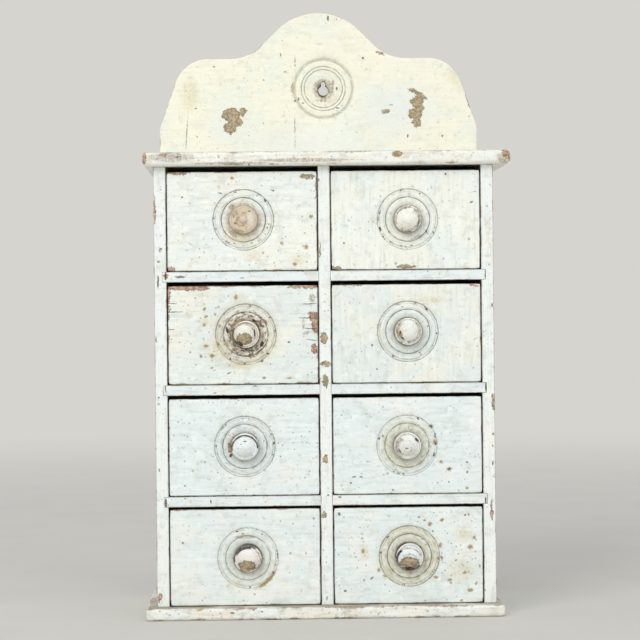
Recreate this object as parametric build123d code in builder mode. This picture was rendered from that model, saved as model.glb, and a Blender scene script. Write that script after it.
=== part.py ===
from build123d import *

import os
from dataclasses import dataclass
from math import cos, radians, tan

# Wooden spice cabinet: eight small drawers in two columns, a shaped back board that rises above the
# top as a crest with a hanging hole, and a turned knob on every drawer. Sizes are in millimetres.
# The origin is the middle of the base board's underside, level with the middle of the carcass:
# +X is the viewer's right, +Y points to the wall and +Z is up.

# Carcass boards
CARCASS_WIDTH = 254.0
CARCASS_DEPTH = 114.0
SIDE_THICKNESS = 9.3
DIVIDER_THICKNESS = 9.0
DIVIDER_SHIFT = 0.3
SHELF_THICKNESS = 7.8
DADO_DEPTH = 3.3
BACK_THICKNESS = 8.0

# Base board
BASE_THICKNESS = 9.4
BASE_FRONT_OVERHANG = 9.0
BASE_LEFT_OVERHANG = 7.8
BASE_RIGHT_OVERHANG = 5.8
BASE_ROUNDING = 3.0

# Top board, set further out on the right than on the left
TOP_THICKNESS = 10.5
TOP_FRONT_OVERHANG = 9.0
TOP_LEFT_OVERHANG = 7.5
TOP_RIGHT_OVERHANG = 12.8
TOP_ROUNDING = 3.5

# Rows of drawers: the clear height of each opening, and the gap above its drawer fronts
TOP_OPENING = 78.5
TOP_GAP = 4.0
UPPER_OPENING = 76.9
UPPER_GAP = 2.9
LOWER_OPENING = 75.4
LOWER_GAP = 2.5
BOTTOM_OPENING = 74.3
BOTTOM_GAP = 1.9

# Crest: heights above the underside of the top board, and the rounding of its corners
CREST_EDGE_RISE = 38.1
CREST_SHOULDER_RISE = 93.4
CREST_DOME_RISE = 129.8
CREST_SHOULDER_INSET = 19.5
CREST_DOME_SLOPE = 45.0
CREST_EDGE_RADIUS = 6.0
CREST_SHOULDER_RADIUS = 27.6
CREST_COVE_RADIUS = 36.5
CREST_DOME_RADIUS = 46.5

# Crest rings and the keyhole for hanging the cabinet from a nail
CREST_RING_RISE = 69.1
CREST_RING_SHIFT = 4.0
CREST_OUTER_RING_RADIUS = 23.4
CREST_OUTER_RING_WIDTH = 2.9
CREST_MIDDLE_RING_RADIUS = 17.6
CREST_INNER_RING_RADIUS = 15.2
CREST_FINE_RING_WIDTH = 1.0
HANGING_HOLE_RADIUS = 4.0
HANGING_HOLE_DROP = 1.5
HANGING_SLOT_WIDTH = 3.4
HANGING_SLOT_RISE = 7.6

# Drawers
DRAWER_FRONT_THICKNESS = 9.5
DRAWER_SIDE_THICKNESS = 6.0
DRAWER_BACK_THICKNESS = 6.0
DRAWER_BOTTOM_THICKNESS = 4.0
DRAWER_RABBET_DEPTH = 6.0
DRAWER_SIDE_CLEARANCE = 0.7
DRAWER_FLOOR_CLEARANCE = 0.4
DRAWER_REAR_CLEARANCE = 4.0

# Turned rings on the drawer fronts
DRAWER_OUTER_RING_RADIUS = 21.7
DRAWER_OUTER_RING_WIDTH = 2.0
DRAWER_INNER_RING_RADIUS = 16.5
DRAWER_FINE_RING_WIDTH = 1.0
RING_DEPTH = 0.8
FINE_RING_DEPTH = 0.5
RING_FLOOR_SHARE = 0.5

# Knob tenon: it ends just inside the front's bore
TENON_RADIUS = 4.5
TENON_SETBACK = 0.5
TENON_CLEARANCE = 0.05

# Cut nails that hold the carcass, heads flush with the boards
NAIL_LENGTH = 24.0
NAIL_RADIUS = 0.8
NAIL_HEAD_RADIUS = 1.7
NAIL_HEAD_THICKNESS = 0.9
NAIL_CLEARANCE = 0.05
NAIL_INSET = 20.0

# Wear on the edges that hands touch
WORN_EDGE = 0.8
SOFT_EDGE = 0.5


@dataclass
class KnobShape:
    """Profile of a turned knob: radii, and distances in front of the drawer."""

    neck_radius: float
    rim_radius: float
    rim_rounding: float
    rim_back: float
    rim_front: float
    groove_radius: float
    groove_edge: float
    groove_floor: float
    dome_radius: float
    length: float


DOMED_KNOB = KnobShape(
    neck_radius=6.0,
    rim_radius=10.2,
    rim_rounding=0.8,
    rim_back=4.6,
    rim_front=6.8,
    groove_radius=9.0,
    groove_edge=7.0,
    groove_floor=6.4,
    dome_radius=8.0,
    length=11.0,
)
BUTTON_KNOB = KnobShape(
    neck_radius=7.0,
    rim_radius=10.6,
    rim_rounding=0.7,
    rim_back=2.6,
    rim_front=4.2,
    groove_radius=4.7,
    groove_edge=5.4,
    groove_floor=4.7,
    dome_radius=2.9,
    length=8.0,
)


@dataclass
class Drawer:
    """One drawer: the cell that it fills, its ring centre's shift from the middle, and its knob."""

    cell_left: float
    cell_right: float
    floor: float
    opening: float
    gap: float
    ring_shift: tuple
    knob: KnobShape

    def __post_init__(self):
        self.left = self.cell_left + DRAWER_SIDE_CLEARANCE
        self.right = self.cell_right - DRAWER_SIDE_CLEARANCE
        self.low = self.floor + DRAWER_FLOOR_CLEARANCE
        self.high = self.floor + self.opening - self.gap
        self.box_low = self.low + DRAWER_BOTTOM_THICKNESS
        middle_x = (self.left + self.right) / 2 + self.ring_shift[0]
        middle_z = (self.low + self.high) / 2 + self.ring_shift[1]
        self.ring_centre = Vector(middle_x, FRONT_Y, middle_z)


# Planes of the carcass, from front to back
HALF_WIDTH = CARCASS_WIDTH / 2
FRONT_Y = BASE_FRONT_OVERHANG - (BASE_FRONT_OVERHANG + CARCASS_DEPTH + BACK_THICKNESS) / 2
SIDE_REAR_Y = FRONT_Y + CARCASS_DEPTH
REAR_Y = SIDE_REAR_Y + BACK_THICKNESS

# Planes of the drawers, from front to back
DRAWER_RABBET_Y = FRONT_Y + DRAWER_FRONT_THICKNESS - DRAWER_RABBET_DEPTH
DRAWER_INNER_Y = FRONT_Y + DRAWER_FRONT_THICKNESS
DRAWER_REAR_Y = SIDE_REAR_Y - DRAWER_REAR_CLEARANCE

# Planes of the carcass, from side to side
INNER_X = HALF_WIDTH - SIDE_THICKNESS
DADO_X = INNER_X + DADO_DEPTH
DIVIDER_LEFT_X = DIVIDER_SHIFT - DIVIDER_THICKNESS / 2
DIVIDER_RIGHT_X = DIVIDER_SHIFT + DIVIDER_THICKNESS / 2

# Floors of the rows and undersides of the shelves, from the bottom up
LOWER_SHELF_Z = BASE_THICKNESS + BOTTOM_OPENING
LOWER_FLOOR_Z = LOWER_SHELF_Z + SHELF_THICKNESS
MIDDLE_SHELF_Z = LOWER_FLOOR_Z + LOWER_OPENING
UPPER_FLOOR_Z = MIDDLE_SHELF_Z + SHELF_THICKNESS
UPPER_SHELF_Z = UPPER_FLOOR_Z + UPPER_OPENING
TOP_FLOOR_Z = UPPER_SHELF_Z + SHELF_THICKNESS
TOP_BOARD_Z = TOP_FLOOR_Z + TOP_OPENING
TOP_SURFACE_Z = TOP_BOARD_Z + TOP_THICKNESS
SHELVES = {"lower_shelf": LOWER_SHELF_Z, "middle_shelf": MIDDLE_SHELF_Z, "upper_shelf": UPPER_SHELF_Z}

# The halving joints between the shelves and the divider meet halfway back
HALVING_Y = FRONT_Y + CARCASS_DEPTH / 2


def plank(low, high, mode=Mode.ADD):
    """Adds a squared board between two opposite corners to the current part, or cuts it away."""
    size = Vector(*high) - Vector(*low)
    with Locations(Vector(*low)):
        Box(size.X, size.Y, size.Z, align=(Align.MIN, Align.MIN, Align.MIN), mode=mode)


def soften(edges, radius):
    """Rounds worn edges of the current part."""
    fillet(edges, radius=radius)


def nail_places(points, outward):
    """Gives one place for each nail head, with its Z axis pointing out of the wood."""
    return [Plane(origin=point, z_dir=outward).location for point in points]


def drive_nails(places, clearance=0.0, mode=Mode.ADD):
    """Adds a nail at each place of the current part, or cuts the bore that takes it."""
    end = (Align.CENTER, Align.CENTER, Align.MAX)
    with Locations(*places):
        Cylinder(NAIL_RADIUS + clearance, NAIL_LENGTH + clearance, align=end, mode=mode)
        Cylinder(NAIL_HEAD_RADIUS + clearance, NAIL_HEAD_THICKNESS + clearance, align=end, mode=mode)


def bore_for_nails(places):
    """Cuts the nails' bores from the current part."""
    drive_nails(places, clearance=NAIL_CLEARANCE, mode=Mode.SUBTRACT)


def turn_ring(centre, radius, width, depth):
    """Turns a flat-bottomed groove round a centre on the current part's front face."""
    floor = width * RING_FLOOR_SHARE
    with BuildSketch(Plane(origin=centre, x_dir=(1, 0, 0), z_dir=(0, 0, 1))) as groove:
        with BuildLine():
            Polyline(
                (radius - width / 2, 0),
                (radius - floor / 2, depth),
                (radius + floor / 2, depth),
                (radius + width / 2, 0),
                close=True,
            )
        make_face()
    revolve(groove.sketch, axis=Axis(centre, (0, 1, 0)), mode=Mode.SUBTRACT)


def save(piece, name):
    """Labels a finished piece and writes it as one file."""
    piece.part.label = name
    export_step(piece.part, f"parts/{name}.step")


# Nails: the side boards, divider and back board are held by rows of them
SIDE_MIDDLE_X = HALF_WIDTH - SIDE_THICKNESS / 2
BACK_MIDDLE_Y = SIDE_REAR_Y + BACK_THICKNESS / 2
NAIL_FRONT_Y = FRONT_Y + NAIL_INSET
NAIL_MIDDLE_Y = FRONT_Y + CARCASS_DEPTH / 2
NAIL_REAR_Y = SIDE_REAR_Y - NAIL_INSET
SHELF_NAIL_ROWS = (NAIL_FRONT_Y, NAIL_REAR_Y)
SIDE_NAIL_ROWS = (NAIL_FRONT_Y, NAIL_MIDDLE_Y, NAIL_REAR_Y)
UPRIGHT_NAIL_POINTS = [(x, y) for x in (-SIDE_MIDDLE_X, SIDE_MIDDLE_X) for y in SIDE_NAIL_ROWS]
UPRIGHT_NAIL_POINTS += [(DIVIDER_SHIFT, y) for y in SHELF_NAIL_ROWS]
BACK_NAIL_X = HALF_WIDTH / 2
BACK_NAIL_POINTS = [(-BACK_NAIL_X, BACK_MIDDLE_Y), (BACK_NAIL_X, BACK_MIDDLE_Y)]
BACK_NAIL_ROWS = (
    BASE_THICKNESS + BOTTOM_OPENING / 2,
    LOWER_FLOOR_Z + LOWER_OPENING / 2,
    UPPER_FLOOR_Z + UPPER_OPENING / 2,
    TOP_FLOOR_Z + TOP_OPENING / 2,
)

left_shelf_nails = nail_places(
    [(-HALF_WIDTH, y, z + SHELF_THICKNESS / 2) for z in SHELVES.values() for y in SHELF_NAIL_ROWS], (-1, 0, 0)
)
right_shelf_nails = nail_places(
    [(HALF_WIDTH, y, z + SHELF_THICKNESS / 2) for z in SHELVES.values() for y in SHELF_NAIL_ROWS], (1, 0, 0)
)
top_nails = nail_places([(x, y, TOP_SURFACE_Z) for x, y in UPRIGHT_NAIL_POINTS], (0, 0, 1))
base_nails = nail_places([(x, y, 0) for x, y in UPRIGHT_NAIL_POINTS + BACK_NAIL_POINTS], (0, 0, -1))
back_nails = nail_places(
    [(x, REAR_Y, z) for x in (-SIDE_MIDDLE_X, SIDE_MIDDLE_X) for z in BACK_NAIL_ROWS]
    + [(x, REAR_Y, (TOP_BOARD_Z + TOP_SURFACE_Z) / 2) for x in (-BACK_NAIL_X, BACK_NAIL_X)],
    (0, 1, 0),
)
all_nails = left_shelf_nails + right_shelf_nails + top_nails + base_nails + back_nails

os.makedirs("parts", exist_ok=True)

# Base board: worn round at the front and the ends, flush with the back board behind
with BuildPart() as base_board:
    plank(
        (-HALF_WIDTH - BASE_LEFT_OVERHANG, FRONT_Y - BASE_FRONT_OVERHANG, 0),
        (HALF_WIDTH + BASE_RIGHT_OVERHANG, REAR_Y, BASE_THICKNESS),
    )
    rear_edges = base_board.faces().sort_by(Axis.Y)[-1].edges()
    soften(base_board.edges() - rear_edges, BASE_ROUNDING)
    bore_for_nails(base_nails)
save(base_board, "base_board")

# Top board: butts against the front face of the back board
with BuildPart() as top_board:
    plank(
        (-HALF_WIDTH - TOP_LEFT_OVERHANG, FRONT_Y - TOP_FRONT_OVERHANG, TOP_BOARD_Z),
        (HALF_WIDTH + TOP_RIGHT_OVERHANG, SIDE_REAR_Y, TOP_SURFACE_Z),
    )
    rear_edges = top_board.faces().sort_by(Axis.Y)[-1].edges()
    soften(top_board.edges() - rear_edges, TOP_ROUNDING)
    bore_for_nails(top_nails + back_nails)
save(top_board, "top_board")


def make_side(outer_x, inner_x, dado_x, shelf_nails):
    """Makes one side board, with a dado across its inner face for the end of every shelf."""
    low_x, high_x = sorted((outer_x, inner_x))
    low_dado_x, high_dado_x = sorted((inner_x, dado_x))
    with BuildPart() as side:
        plank((low_x, FRONT_Y, BASE_THICKNESS), (high_x, SIDE_REAR_Y, TOP_BOARD_Z))
        front_face = side.faces().sort_by(Axis.Y)[0]
        soften(front_face.edges().filter_by(Axis.Z), SOFT_EDGE)
        for shelf_z in SHELVES.values():
            plank(
                (low_dado_x, FRONT_Y, shelf_z),
                (high_dado_x, SIDE_REAR_Y, shelf_z + SHELF_THICKNESS),
                mode=Mode.SUBTRACT,
            )
        bore_for_nails(shelf_nails + top_nails + base_nails + back_nails)
    return side


left_side = make_side(-HALF_WIDTH, -INNER_X, -DADO_X, left_shelf_nails)
save(left_side, "left_side")
right_side = make_side(HALF_WIDTH, INNER_X, DADO_X, right_shelf_nails)
save(right_side, "right_side")

# Centre divider: notched from behind, so that it shows whole at the front
with BuildPart() as centre_divider:
    plank((DIVIDER_LEFT_X, FRONT_Y, BASE_THICKNESS), (DIVIDER_RIGHT_X, SIDE_REAR_Y, TOP_BOARD_Z))
    front_face = centre_divider.faces().sort_by(Axis.Y)[0]
    soften(front_face.edges().filter_by(Axis.Z), SOFT_EDGE)
    for shelf_z in SHELVES.values():
        plank(
            (DIVIDER_LEFT_X, HALVING_Y, shelf_z),
            (DIVIDER_RIGHT_X, SIDE_REAR_Y, shelf_z + SHELF_THICKNESS),
            mode=Mode.SUBTRACT,
        )
    bore_for_nails(top_nails + base_nails)
save(centre_divider, "centre_divider")

# Shelves: their ends lie in the sides' dadoes, and each is notched from the front for the divider
for shelf_name, shelf_z in SHELVES.items():
    with BuildPart() as shelf:
        plank((-DADO_X, FRONT_Y, shelf_z), (DADO_X, SIDE_REAR_Y, shelf_z + SHELF_THICKNESS))
        front_face = shelf.faces().sort_by(Axis.Y)[0]
        soften(front_face.edges().filter_by(Axis.X), SOFT_EDGE)
        plank(
            (DIVIDER_LEFT_X, FRONT_Y, shelf_z),
            (DIVIDER_RIGHT_X, HALVING_Y, shelf_z + SHELF_THICKNESS),
            mode=Mode.SUBTRACT,
        )
        bore_for_nails(left_shelf_nails + right_shelf_nails)
    save(shelf, shelf_name)

# Back board: stands on the base and rises above the top board as the crest
CREST_EDGE_Z = TOP_BOARD_Z + CREST_EDGE_RISE
CREST_SHOULDER_Z = TOP_BOARD_Z + CREST_SHOULDER_RISE
CREST_DOME_Z = TOP_BOARD_Z + CREST_DOME_RISE
DOME_CORNER_Z = CREST_DOME_Z + CREST_DOME_RADIUS * (1 / cos(radians(CREST_DOME_SLOPE)) - 1)
COVE_CORNER_X = (DOME_CORNER_Z - CREST_SHOULDER_Z) / tan(radians(CREST_DOME_SLOPE))
SHOULDER_CORNER_X = HALF_WIDTH - CREST_SHOULDER_INSET
crest_ring_centre = Vector(CREST_RING_SHIFT, SIDE_REAR_Y, TOP_BOARD_Z + CREST_RING_RISE)
hanging_hole_z = crest_ring_centre.Z - HANGING_HOLE_DROP

with BuildPart() as back_board:
    with BuildSketch(Plane.XZ.offset(-REAR_Y)):
        with BuildLine():
            FilletPolyline(
                (-HALF_WIDTH, BASE_THICKNESS),
                (-HALF_WIDTH, CREST_EDGE_Z),
                (-SHOULDER_CORNER_X, CREST_SHOULDER_Z),
                (-COVE_CORNER_X, CREST_SHOULDER_Z),
                (0, DOME_CORNER_Z),
                (COVE_CORNER_X, CREST_SHOULDER_Z),
                (SHOULDER_CORNER_X, CREST_SHOULDER_Z),
                (HALF_WIDTH, CREST_EDGE_Z),
                (HALF_WIDTH, BASE_THICKNESS),
                radius=[
                    CREST_EDGE_RADIUS,
                    CREST_SHOULDER_RADIUS,
                    CREST_COVE_RADIUS,
                    CREST_DOME_RADIUS,
                    CREST_COVE_RADIUS,
                    CREST_SHOULDER_RADIUS,
                    CREST_EDGE_RADIUS,
                ],
            )
            Line((-HALF_WIDTH, BASE_THICKNESS), (HALF_WIDTH, BASE_THICKNESS))
        make_face()
        with Locations((CREST_RING_SHIFT, hanging_hole_z)):
            Circle(HANGING_HOLE_RADIUS, mode=Mode.SUBTRACT)
        slot_top_z = hanging_hole_z + HANGING_SLOT_RISE
        with Locations((CREST_RING_SHIFT, slot_top_z - HANGING_SLOT_WIDTH / 2)):
            Circle(HANGING_SLOT_WIDTH / 2, mode=Mode.SUBTRACT)
            Rectangle(
                HANGING_SLOT_WIDTH,
                HANGING_SLOT_RISE - HANGING_SLOT_WIDTH / 2,
                align=(Align.CENTER, Align.MAX),
                mode=Mode.SUBTRACT,
            )
    extrude(amount=BACK_THICKNESS)
    front_face = back_board.faces().sort_by(Axis.Y)[0]
    soften(front_face.outer_wire().edges(), WORN_EDGE)
    turn_ring(crest_ring_centre, CREST_OUTER_RING_RADIUS, CREST_OUTER_RING_WIDTH, RING_DEPTH)
    turn_ring(crest_ring_centre, CREST_MIDDLE_RING_RADIUS, CREST_FINE_RING_WIDTH, FINE_RING_DEPTH)
    turn_ring(crest_ring_centre, CREST_INNER_RING_RADIUS, CREST_FINE_RING_WIDTH, FINE_RING_DEPTH)
    bore_for_nails(back_nails + base_nails)
save(back_board, "back_board")

# Carcass nails
with BuildPart() as carcass_nails:
    drive_nails(all_nails)
save(carcass_nails, "carcass_nails")


def make_drawer_front(drawer):
    """Makes the front: rabbeted behind for the sides and bottom, ringed and bored for the knob."""
    left_shoulder_x = drawer.left + DRAWER_SIDE_THICKNESS
    right_shoulder_x = drawer.right - DRAWER_SIDE_THICKNESS
    with BuildPart() as front:
        plank((drawer.left, FRONT_Y, drawer.low), (drawer.right, DRAWER_INNER_Y, drawer.high))
        soften(front.faces().sort_by(Axis.Y)[0].edges(), WORN_EDGE)
        for low, high in (
            ((drawer.left, DRAWER_RABBET_Y, drawer.low), (left_shoulder_x, DRAWER_INNER_Y, drawer.high)),
            ((right_shoulder_x, DRAWER_RABBET_Y, drawer.low), (drawer.right, DRAWER_INNER_Y, drawer.high)),
            ((drawer.left, DRAWER_RABBET_Y, drawer.low), (drawer.right, DRAWER_INNER_Y, drawer.box_low)),
        ):
            plank(low, high, mode=Mode.SUBTRACT)
        turn_ring(drawer.ring_centre, DRAWER_OUTER_RING_RADIUS, DRAWER_OUTER_RING_WIDTH, RING_DEPTH)
        turn_ring(drawer.ring_centre, DRAWER_INNER_RING_RADIUS, DRAWER_FINE_RING_WIDTH, FINE_RING_DEPTH)
        with Locations(Plane(origin=drawer.ring_centre, z_dir=(0, -1, 0))):
            Hole(TENON_RADIUS + TENON_CLEARANCE)
    return front


def make_drawer_side(drawer, left, right):
    """Makes one side, which runs from the front's rabbet to the drawer's rear end."""
    with BuildPart() as side:
        plank((left, DRAWER_RABBET_Y, drawer.box_low), (right, DRAWER_REAR_Y, drawer.high))
        soften(side.faces().sort_by(Axis.Z)[-1].edges().filter_by(Axis.Y), SOFT_EDGE)
    return side


def make_drawer_back(drawer):
    """Makes the back, which stands between the sides."""
    left = drawer.left + DRAWER_SIDE_THICKNESS
    right = drawer.right - DRAWER_SIDE_THICKNESS
    front_y = DRAWER_REAR_Y - DRAWER_BACK_THICKNESS
    with BuildPart() as back:
        plank((left, front_y, drawer.box_low), (right, DRAWER_REAR_Y, drawer.high))
        soften(back.faces().sort_by(Axis.Z)[-1].edges().filter_by(Axis.X), SOFT_EDGE)
    return back


def make_drawer_bottom(drawer):
    """Makes the bottom, nailed up under the sides and back and let into the front's rabbet."""
    with BuildPart() as bottom:
        plank((drawer.left, DRAWER_RABBET_Y, drawer.low), (drawer.right, DRAWER_REAR_Y, drawer.box_low))
    return bottom


def make_knob(drawer):
    """Turns the knob and its tenon round the ring's centre, from the axis outwards."""
    knob = drawer.knob
    rim_x = knob.rim_radius - knob.rim_rounding
    rim_middle = (knob.rim_back + knob.rim_front) / 2
    tenon_end = TENON_SETBACK - DRAWER_FRONT_THICKNESS
    with BuildPart() as turned:
        with BuildSketch(Plane(origin=drawer.ring_centre, x_dir=(1, 0, 0), z_dir=(0, 0, -1))):
            with BuildLine():
                Polyline(
                    (0, knob.length),
                    (0, tenon_end),
                    (TENON_RADIUS, tenon_end),
                    (TENON_RADIUS, 0),
                    (knob.neck_radius, 0),
                )
                TangentArc((knob.neck_radius, 0), (rim_x, knob.rim_back), tangent=(0, 1))
                ThreePointArc((rim_x, knob.rim_back), (knob.rim_radius, rim_middle), (rim_x, knob.rim_front))
                Polyline(
                    (rim_x, knob.rim_front),
                    (knob.groove_radius, knob.groove_edge),
                    (knob.dome_radius, knob.groove_floor),
                )
                TangentArc((0, knob.length), (knob.dome_radius, knob.groove_floor), tangent=(1, 0))
            make_face()
        revolve(axis=Axis(drawer.ring_centre, (0, 1, 0)))
    return turned


# Drawers, from the top: floor of the cell, its height, the gap above the front
ROWS = {
    "top": (TOP_FLOOR_Z, TOP_OPENING, TOP_GAP),
    "upper": (UPPER_FLOOR_Z, UPPER_OPENING, UPPER_GAP),
    "lower": (LOWER_FLOOR_Z, LOWER_OPENING, LOWER_GAP),
    "bottom": (BASE_THICKNESS, BOTTOM_OPENING, BOTTOM_GAP),
}
COLUMNS = {"left": (-INNER_X, DIVIDER_LEFT_X), "right": (DIVIDER_RIGHT_X, INNER_X)}

# Every front was turned by hand, so its rings sit a little off the middle: right and up
RING_SHIFTS = {
    "top_left": (1.0, 1.0),
    "top_right": (1.5, 0.5),
    "upper_left": (2.0, 0.5),
    "upper_right": (1.0, 1.5),
    "lower_left": (0.5, 0.5),
    "lower_right": (-0.5, 0.0),
    "bottom_left": (2.0, -0.5),
    "bottom_right": (0.5, -0.5),
}
ODD_KNOBS = {"top_left": BUTTON_KNOB}

for row, (floor, opening, gap) in ROWS.items():
    for column, (cell_left, cell_right) in COLUMNS.items():
        name = f"{row}_{column}"
        knob_shape = ODD_KNOBS.get(name, DOMED_KNOB)
        drawer = Drawer(cell_left, cell_right, floor, opening, gap, RING_SHIFTS[name], knob_shape)
        save(make_drawer_front(drawer), f"{name}_drawer_front")
        left_side_inner = drawer.left + DRAWER_SIDE_THICKNESS
        right_side_inner = drawer.right - DRAWER_SIDE_THICKNESS
        save(make_drawer_side(drawer, drawer.left, left_side_inner), f"{name}_drawer_left_side")
        save(make_drawer_side(drawer, right_side_inner, drawer.right), f"{name}_drawer_right_side")
        save(make_drawer_back(drawer), f"{name}_drawer_back")
        save(make_drawer_bottom(drawer), f"{name}_drawer_bottom")
        save(make_knob(drawer), f"{name}_knob")
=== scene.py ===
"""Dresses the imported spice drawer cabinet: worn boards, turned knobs, aged paint and soft studio light."""

import logging
import math
from dataclasses import dataclass
from enum import Enum
from typing import Optional, Sequence

import bmesh
import bpy
import numpy as np
from mathutils import Matrix, Vector, noise


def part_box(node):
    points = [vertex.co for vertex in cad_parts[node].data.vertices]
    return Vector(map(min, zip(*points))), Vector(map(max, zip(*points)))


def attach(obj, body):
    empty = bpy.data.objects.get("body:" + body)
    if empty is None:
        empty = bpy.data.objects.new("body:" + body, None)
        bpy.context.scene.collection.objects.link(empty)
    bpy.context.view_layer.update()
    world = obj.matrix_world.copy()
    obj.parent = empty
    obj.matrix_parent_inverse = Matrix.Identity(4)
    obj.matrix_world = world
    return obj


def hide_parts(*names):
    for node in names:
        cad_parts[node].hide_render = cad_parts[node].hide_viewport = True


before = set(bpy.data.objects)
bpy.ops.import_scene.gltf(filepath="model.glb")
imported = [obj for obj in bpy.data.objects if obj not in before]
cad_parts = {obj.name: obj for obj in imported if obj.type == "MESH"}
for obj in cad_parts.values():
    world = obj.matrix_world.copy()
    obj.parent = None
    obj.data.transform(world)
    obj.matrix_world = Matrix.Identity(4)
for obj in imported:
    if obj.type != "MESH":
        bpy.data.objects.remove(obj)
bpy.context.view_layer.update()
LOG = logging.getLogger("spice_cabinet")

MM = 0.001
FRAME_SIZE = 640
SMOOTH = {"interpolation_type": "SMOOTHSTEP"}
NOISE_ROUGHNESS = 0.55
MERGE_REACH = 2e-6

# Planes that the pieces share, in millimetres
FRONT_Y = -56.5
NOSE_Y = -65.5
BACK_BOARD_FRONT_Y = 57.5
REAR_Y = 65.5
HALF_WIDTH = 127.0


# ---------------------------------------------------------------- shared helpers

def linear(colour: str) -> tuple[float, float, float, float]:
    """Turns an sRGB hex colour into the linear colour that Blender's sockets take.

    Args:
        colour: six hex digits after a hash sign.

    Returns:
        Red, green, blue and an alpha of 1.
    """
    parts = [int(colour[i:i + 2], 16) / 255 for i in (1, 3, 5)]
    return (*(c / 12.92 if c <= 0.04045 else ((c + 0.055) / 1.055) ** 2.4 for c in parts), 1.0)


def add_node(tree: bpy.types.NodeTree, kind: str, *sockets, out: int = 0, **settings) -> bpy.types.NodeSocket:
    """Adds one node with its settings, values and links.

    Args:
        tree: the tree that gets the node.
        kind: the node's type name, without Blender's prefix for shader nodes.
        sockets: what goes into the inputs in their order, each a value, a hex colour, or the socket that feeds
            it, with None for an input left as it is. One dictionary instead names the inputs.
        out: which of the node's outputs to return.
        settings: properties of the node itself.

    Returns:
        The chosen output socket, or None for a node without outputs.
    """
    prefix = "" if kind.startswith(("Geometry", "Function", "NodeGroup", "Shader")) else "ShaderNode"
    node = tree.nodes.new(prefix + kind)
    for name, value in settings.items():
        setattr(node, name, value)
    named = sockets[0] if sockets and isinstance(sockets[0], dict) else dict(enumerate(sockets))
    for key, value in named.items():
        if isinstance(value, bpy.types.NodeSocket):
            tree.links.new(value, node.inputs[key])
        elif value is not None:
            tint = isinstance(value, str) and value.startswith("#")
            node.inputs[key].default_value = linear(value) if tint else value
    return node.outputs[out] if len(node.outputs) > out else None


def open_group(name: str, kind: str, inputs: dict[str, str], output: str,
               output_kind: str) -> tuple[bpy.types.NodeTree, dict[str, str], bpy.types.NodeOutputs]:
    """Starts a node group with its named inputs and its one output.

    Args:
        name: the group's name.
        kind: the type of its tree.
        inputs: the kind of each input, by name.
        output: the output's name.
        output_kind: the output's kind.

    Returns:
        The tree, each input's identifier by name, and the sockets that give the inputs inside the tree.
    """
    tree = bpy.data.node_groups.new(name, kind)
    identifiers = {key: tree.interface.new_socket(name=key, in_out="INPUT", socket_type="NodeSocket" + sort).identifier
                   for key, sort in inputs.items()}
    tree.interface.new_socket(name=output, in_out="OUTPUT", socket_type="NodeSocket" + output_kind)
    return tree, identifiers, tree.nodes.new("NodeGroupInput").outputs


def ring_mesh(name: str, rings: Sequence[np.ndarray], finish: bpy.types.Material,
              sharp_angle: float = 30.0) -> bpy.types.Object:
    """Skins a row of rings, each with the same number of points, into one closed shell.

    Args:
        name: the piece's name.
        rings: arrays of points in millimetres, one row of X, Y and Z for each point. The last joins the first.
        finish: the material.
        sharp_angle: edges sharper than this, in degrees, stay crisp.

    Returns:
        The new object, at the origin.
    """
    count, points = len(rings[0]), np.vstack(rings) * MM
    faces = []
    for r in range(len(rings)):
        a, b = r * count, ((r + 1) % len(rings)) * count
        faces += [(a + i, a + (i + 1) % count, b + (i + 1) % count, b + i) for i in range(count)]
    mesh = bpy.data.meshes.new(name)
    mesh.from_pydata(points.tolist(), [], faces)
    return finish_mesh(name, mesh, finish, sharp_angle)


def finish_mesh(name: str, mesh: bpy.types.Mesh, finish: bpy.types.Material, sharp_angle: float) -> bpy.types.Object:
    """Merges doubles, turns the faces outwards, sets the shading and links the piece.

    Args:
        name: the piece's name.
        mesh: its mesh, in metres.
        finish: the material.
        sharp_angle: edges sharper than this, in degrees, stay crisp.

    Returns:
        The new object, at the origin.
    """
    work = bmesh.new()
    work.from_mesh(mesh)
    bmesh.ops.remove_doubles(work, verts=work.verts, dist=MERGE_REACH)
    bmesh.ops.dissolve_degenerate(work, edges=work.edges, dist=MERGE_REACH)
    bmesh.ops.recalc_face_normals(work, faces=work.faces)
    work.to_mesh(mesh)
    work.free()
    mesh.materials.clear()
    mesh.materials.append(finish)
    mesh.shade_smooth()
    mesh.set_sharp_from_angle(angle=math.radians(sharp_angle))
    piece = bpy.data.objects.new(name, mesh)
    bpy.context.scene.collection.objects.link(piece)
    return piece


def place(piece: bpy.types.Object, body: str, slot: str, *nodes: str) -> None:
    """Rides a piece on its body, hides the CAD nodes it stands for, and reports it.

    Args:
        piece: the finished object.
        body: the CAD body it moves with.
        slot: the record's material slot; not used.
        nodes: the CAD nodes that it replaces, if any.
    """
    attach(piece, body)
    if nodes:
        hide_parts(*nodes)
    LOG.info("%s: %d faces on %s, for %s", piece.name, len(piece.data.polygons), body, ", ".join(nodes) or "itself")


def dress_node(name: str, finish: bpy.types.Material) -> None:
    """Gives a CAD node's slots a finish, and reports it.

    Args:
        name: the CAD node's name.
        finish: the material for all its slots.
    """
    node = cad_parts[name]
    if not node.material_slots:
        node.data.materials.append(finish)
    for material_slot in node.material_slots:
        material_slot.material = finish
    LOG.info("%s: CAD node, %s", name, finish.name)


def wavy(count_along: np.ndarray, seed: int, waves: int = 7) -> np.ndarray:
    """Gives a smooth random value from 0 to 1 for each place round a closed line.

    Args:
        count_along: place round the line, from 0 to 1.
        seed: the random seed.
        waves: how many waves are added, each shorter than the last.

    Returns:
        One value for each place.
    """
    draw = np.random.default_rng(seed)
    total = np.zeros_like(count_along)
    for k in range(1, waves + 1):
        total += np.sin(2 * math.pi * (k * 3 * count_along + draw.random())) * draw.uniform(0.4, 1.0) / math.sqrt(k)
    return np.clip(0.5 + total / 4.5, 0, 1)


# ---------------------------------------------------------------- camera

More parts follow.
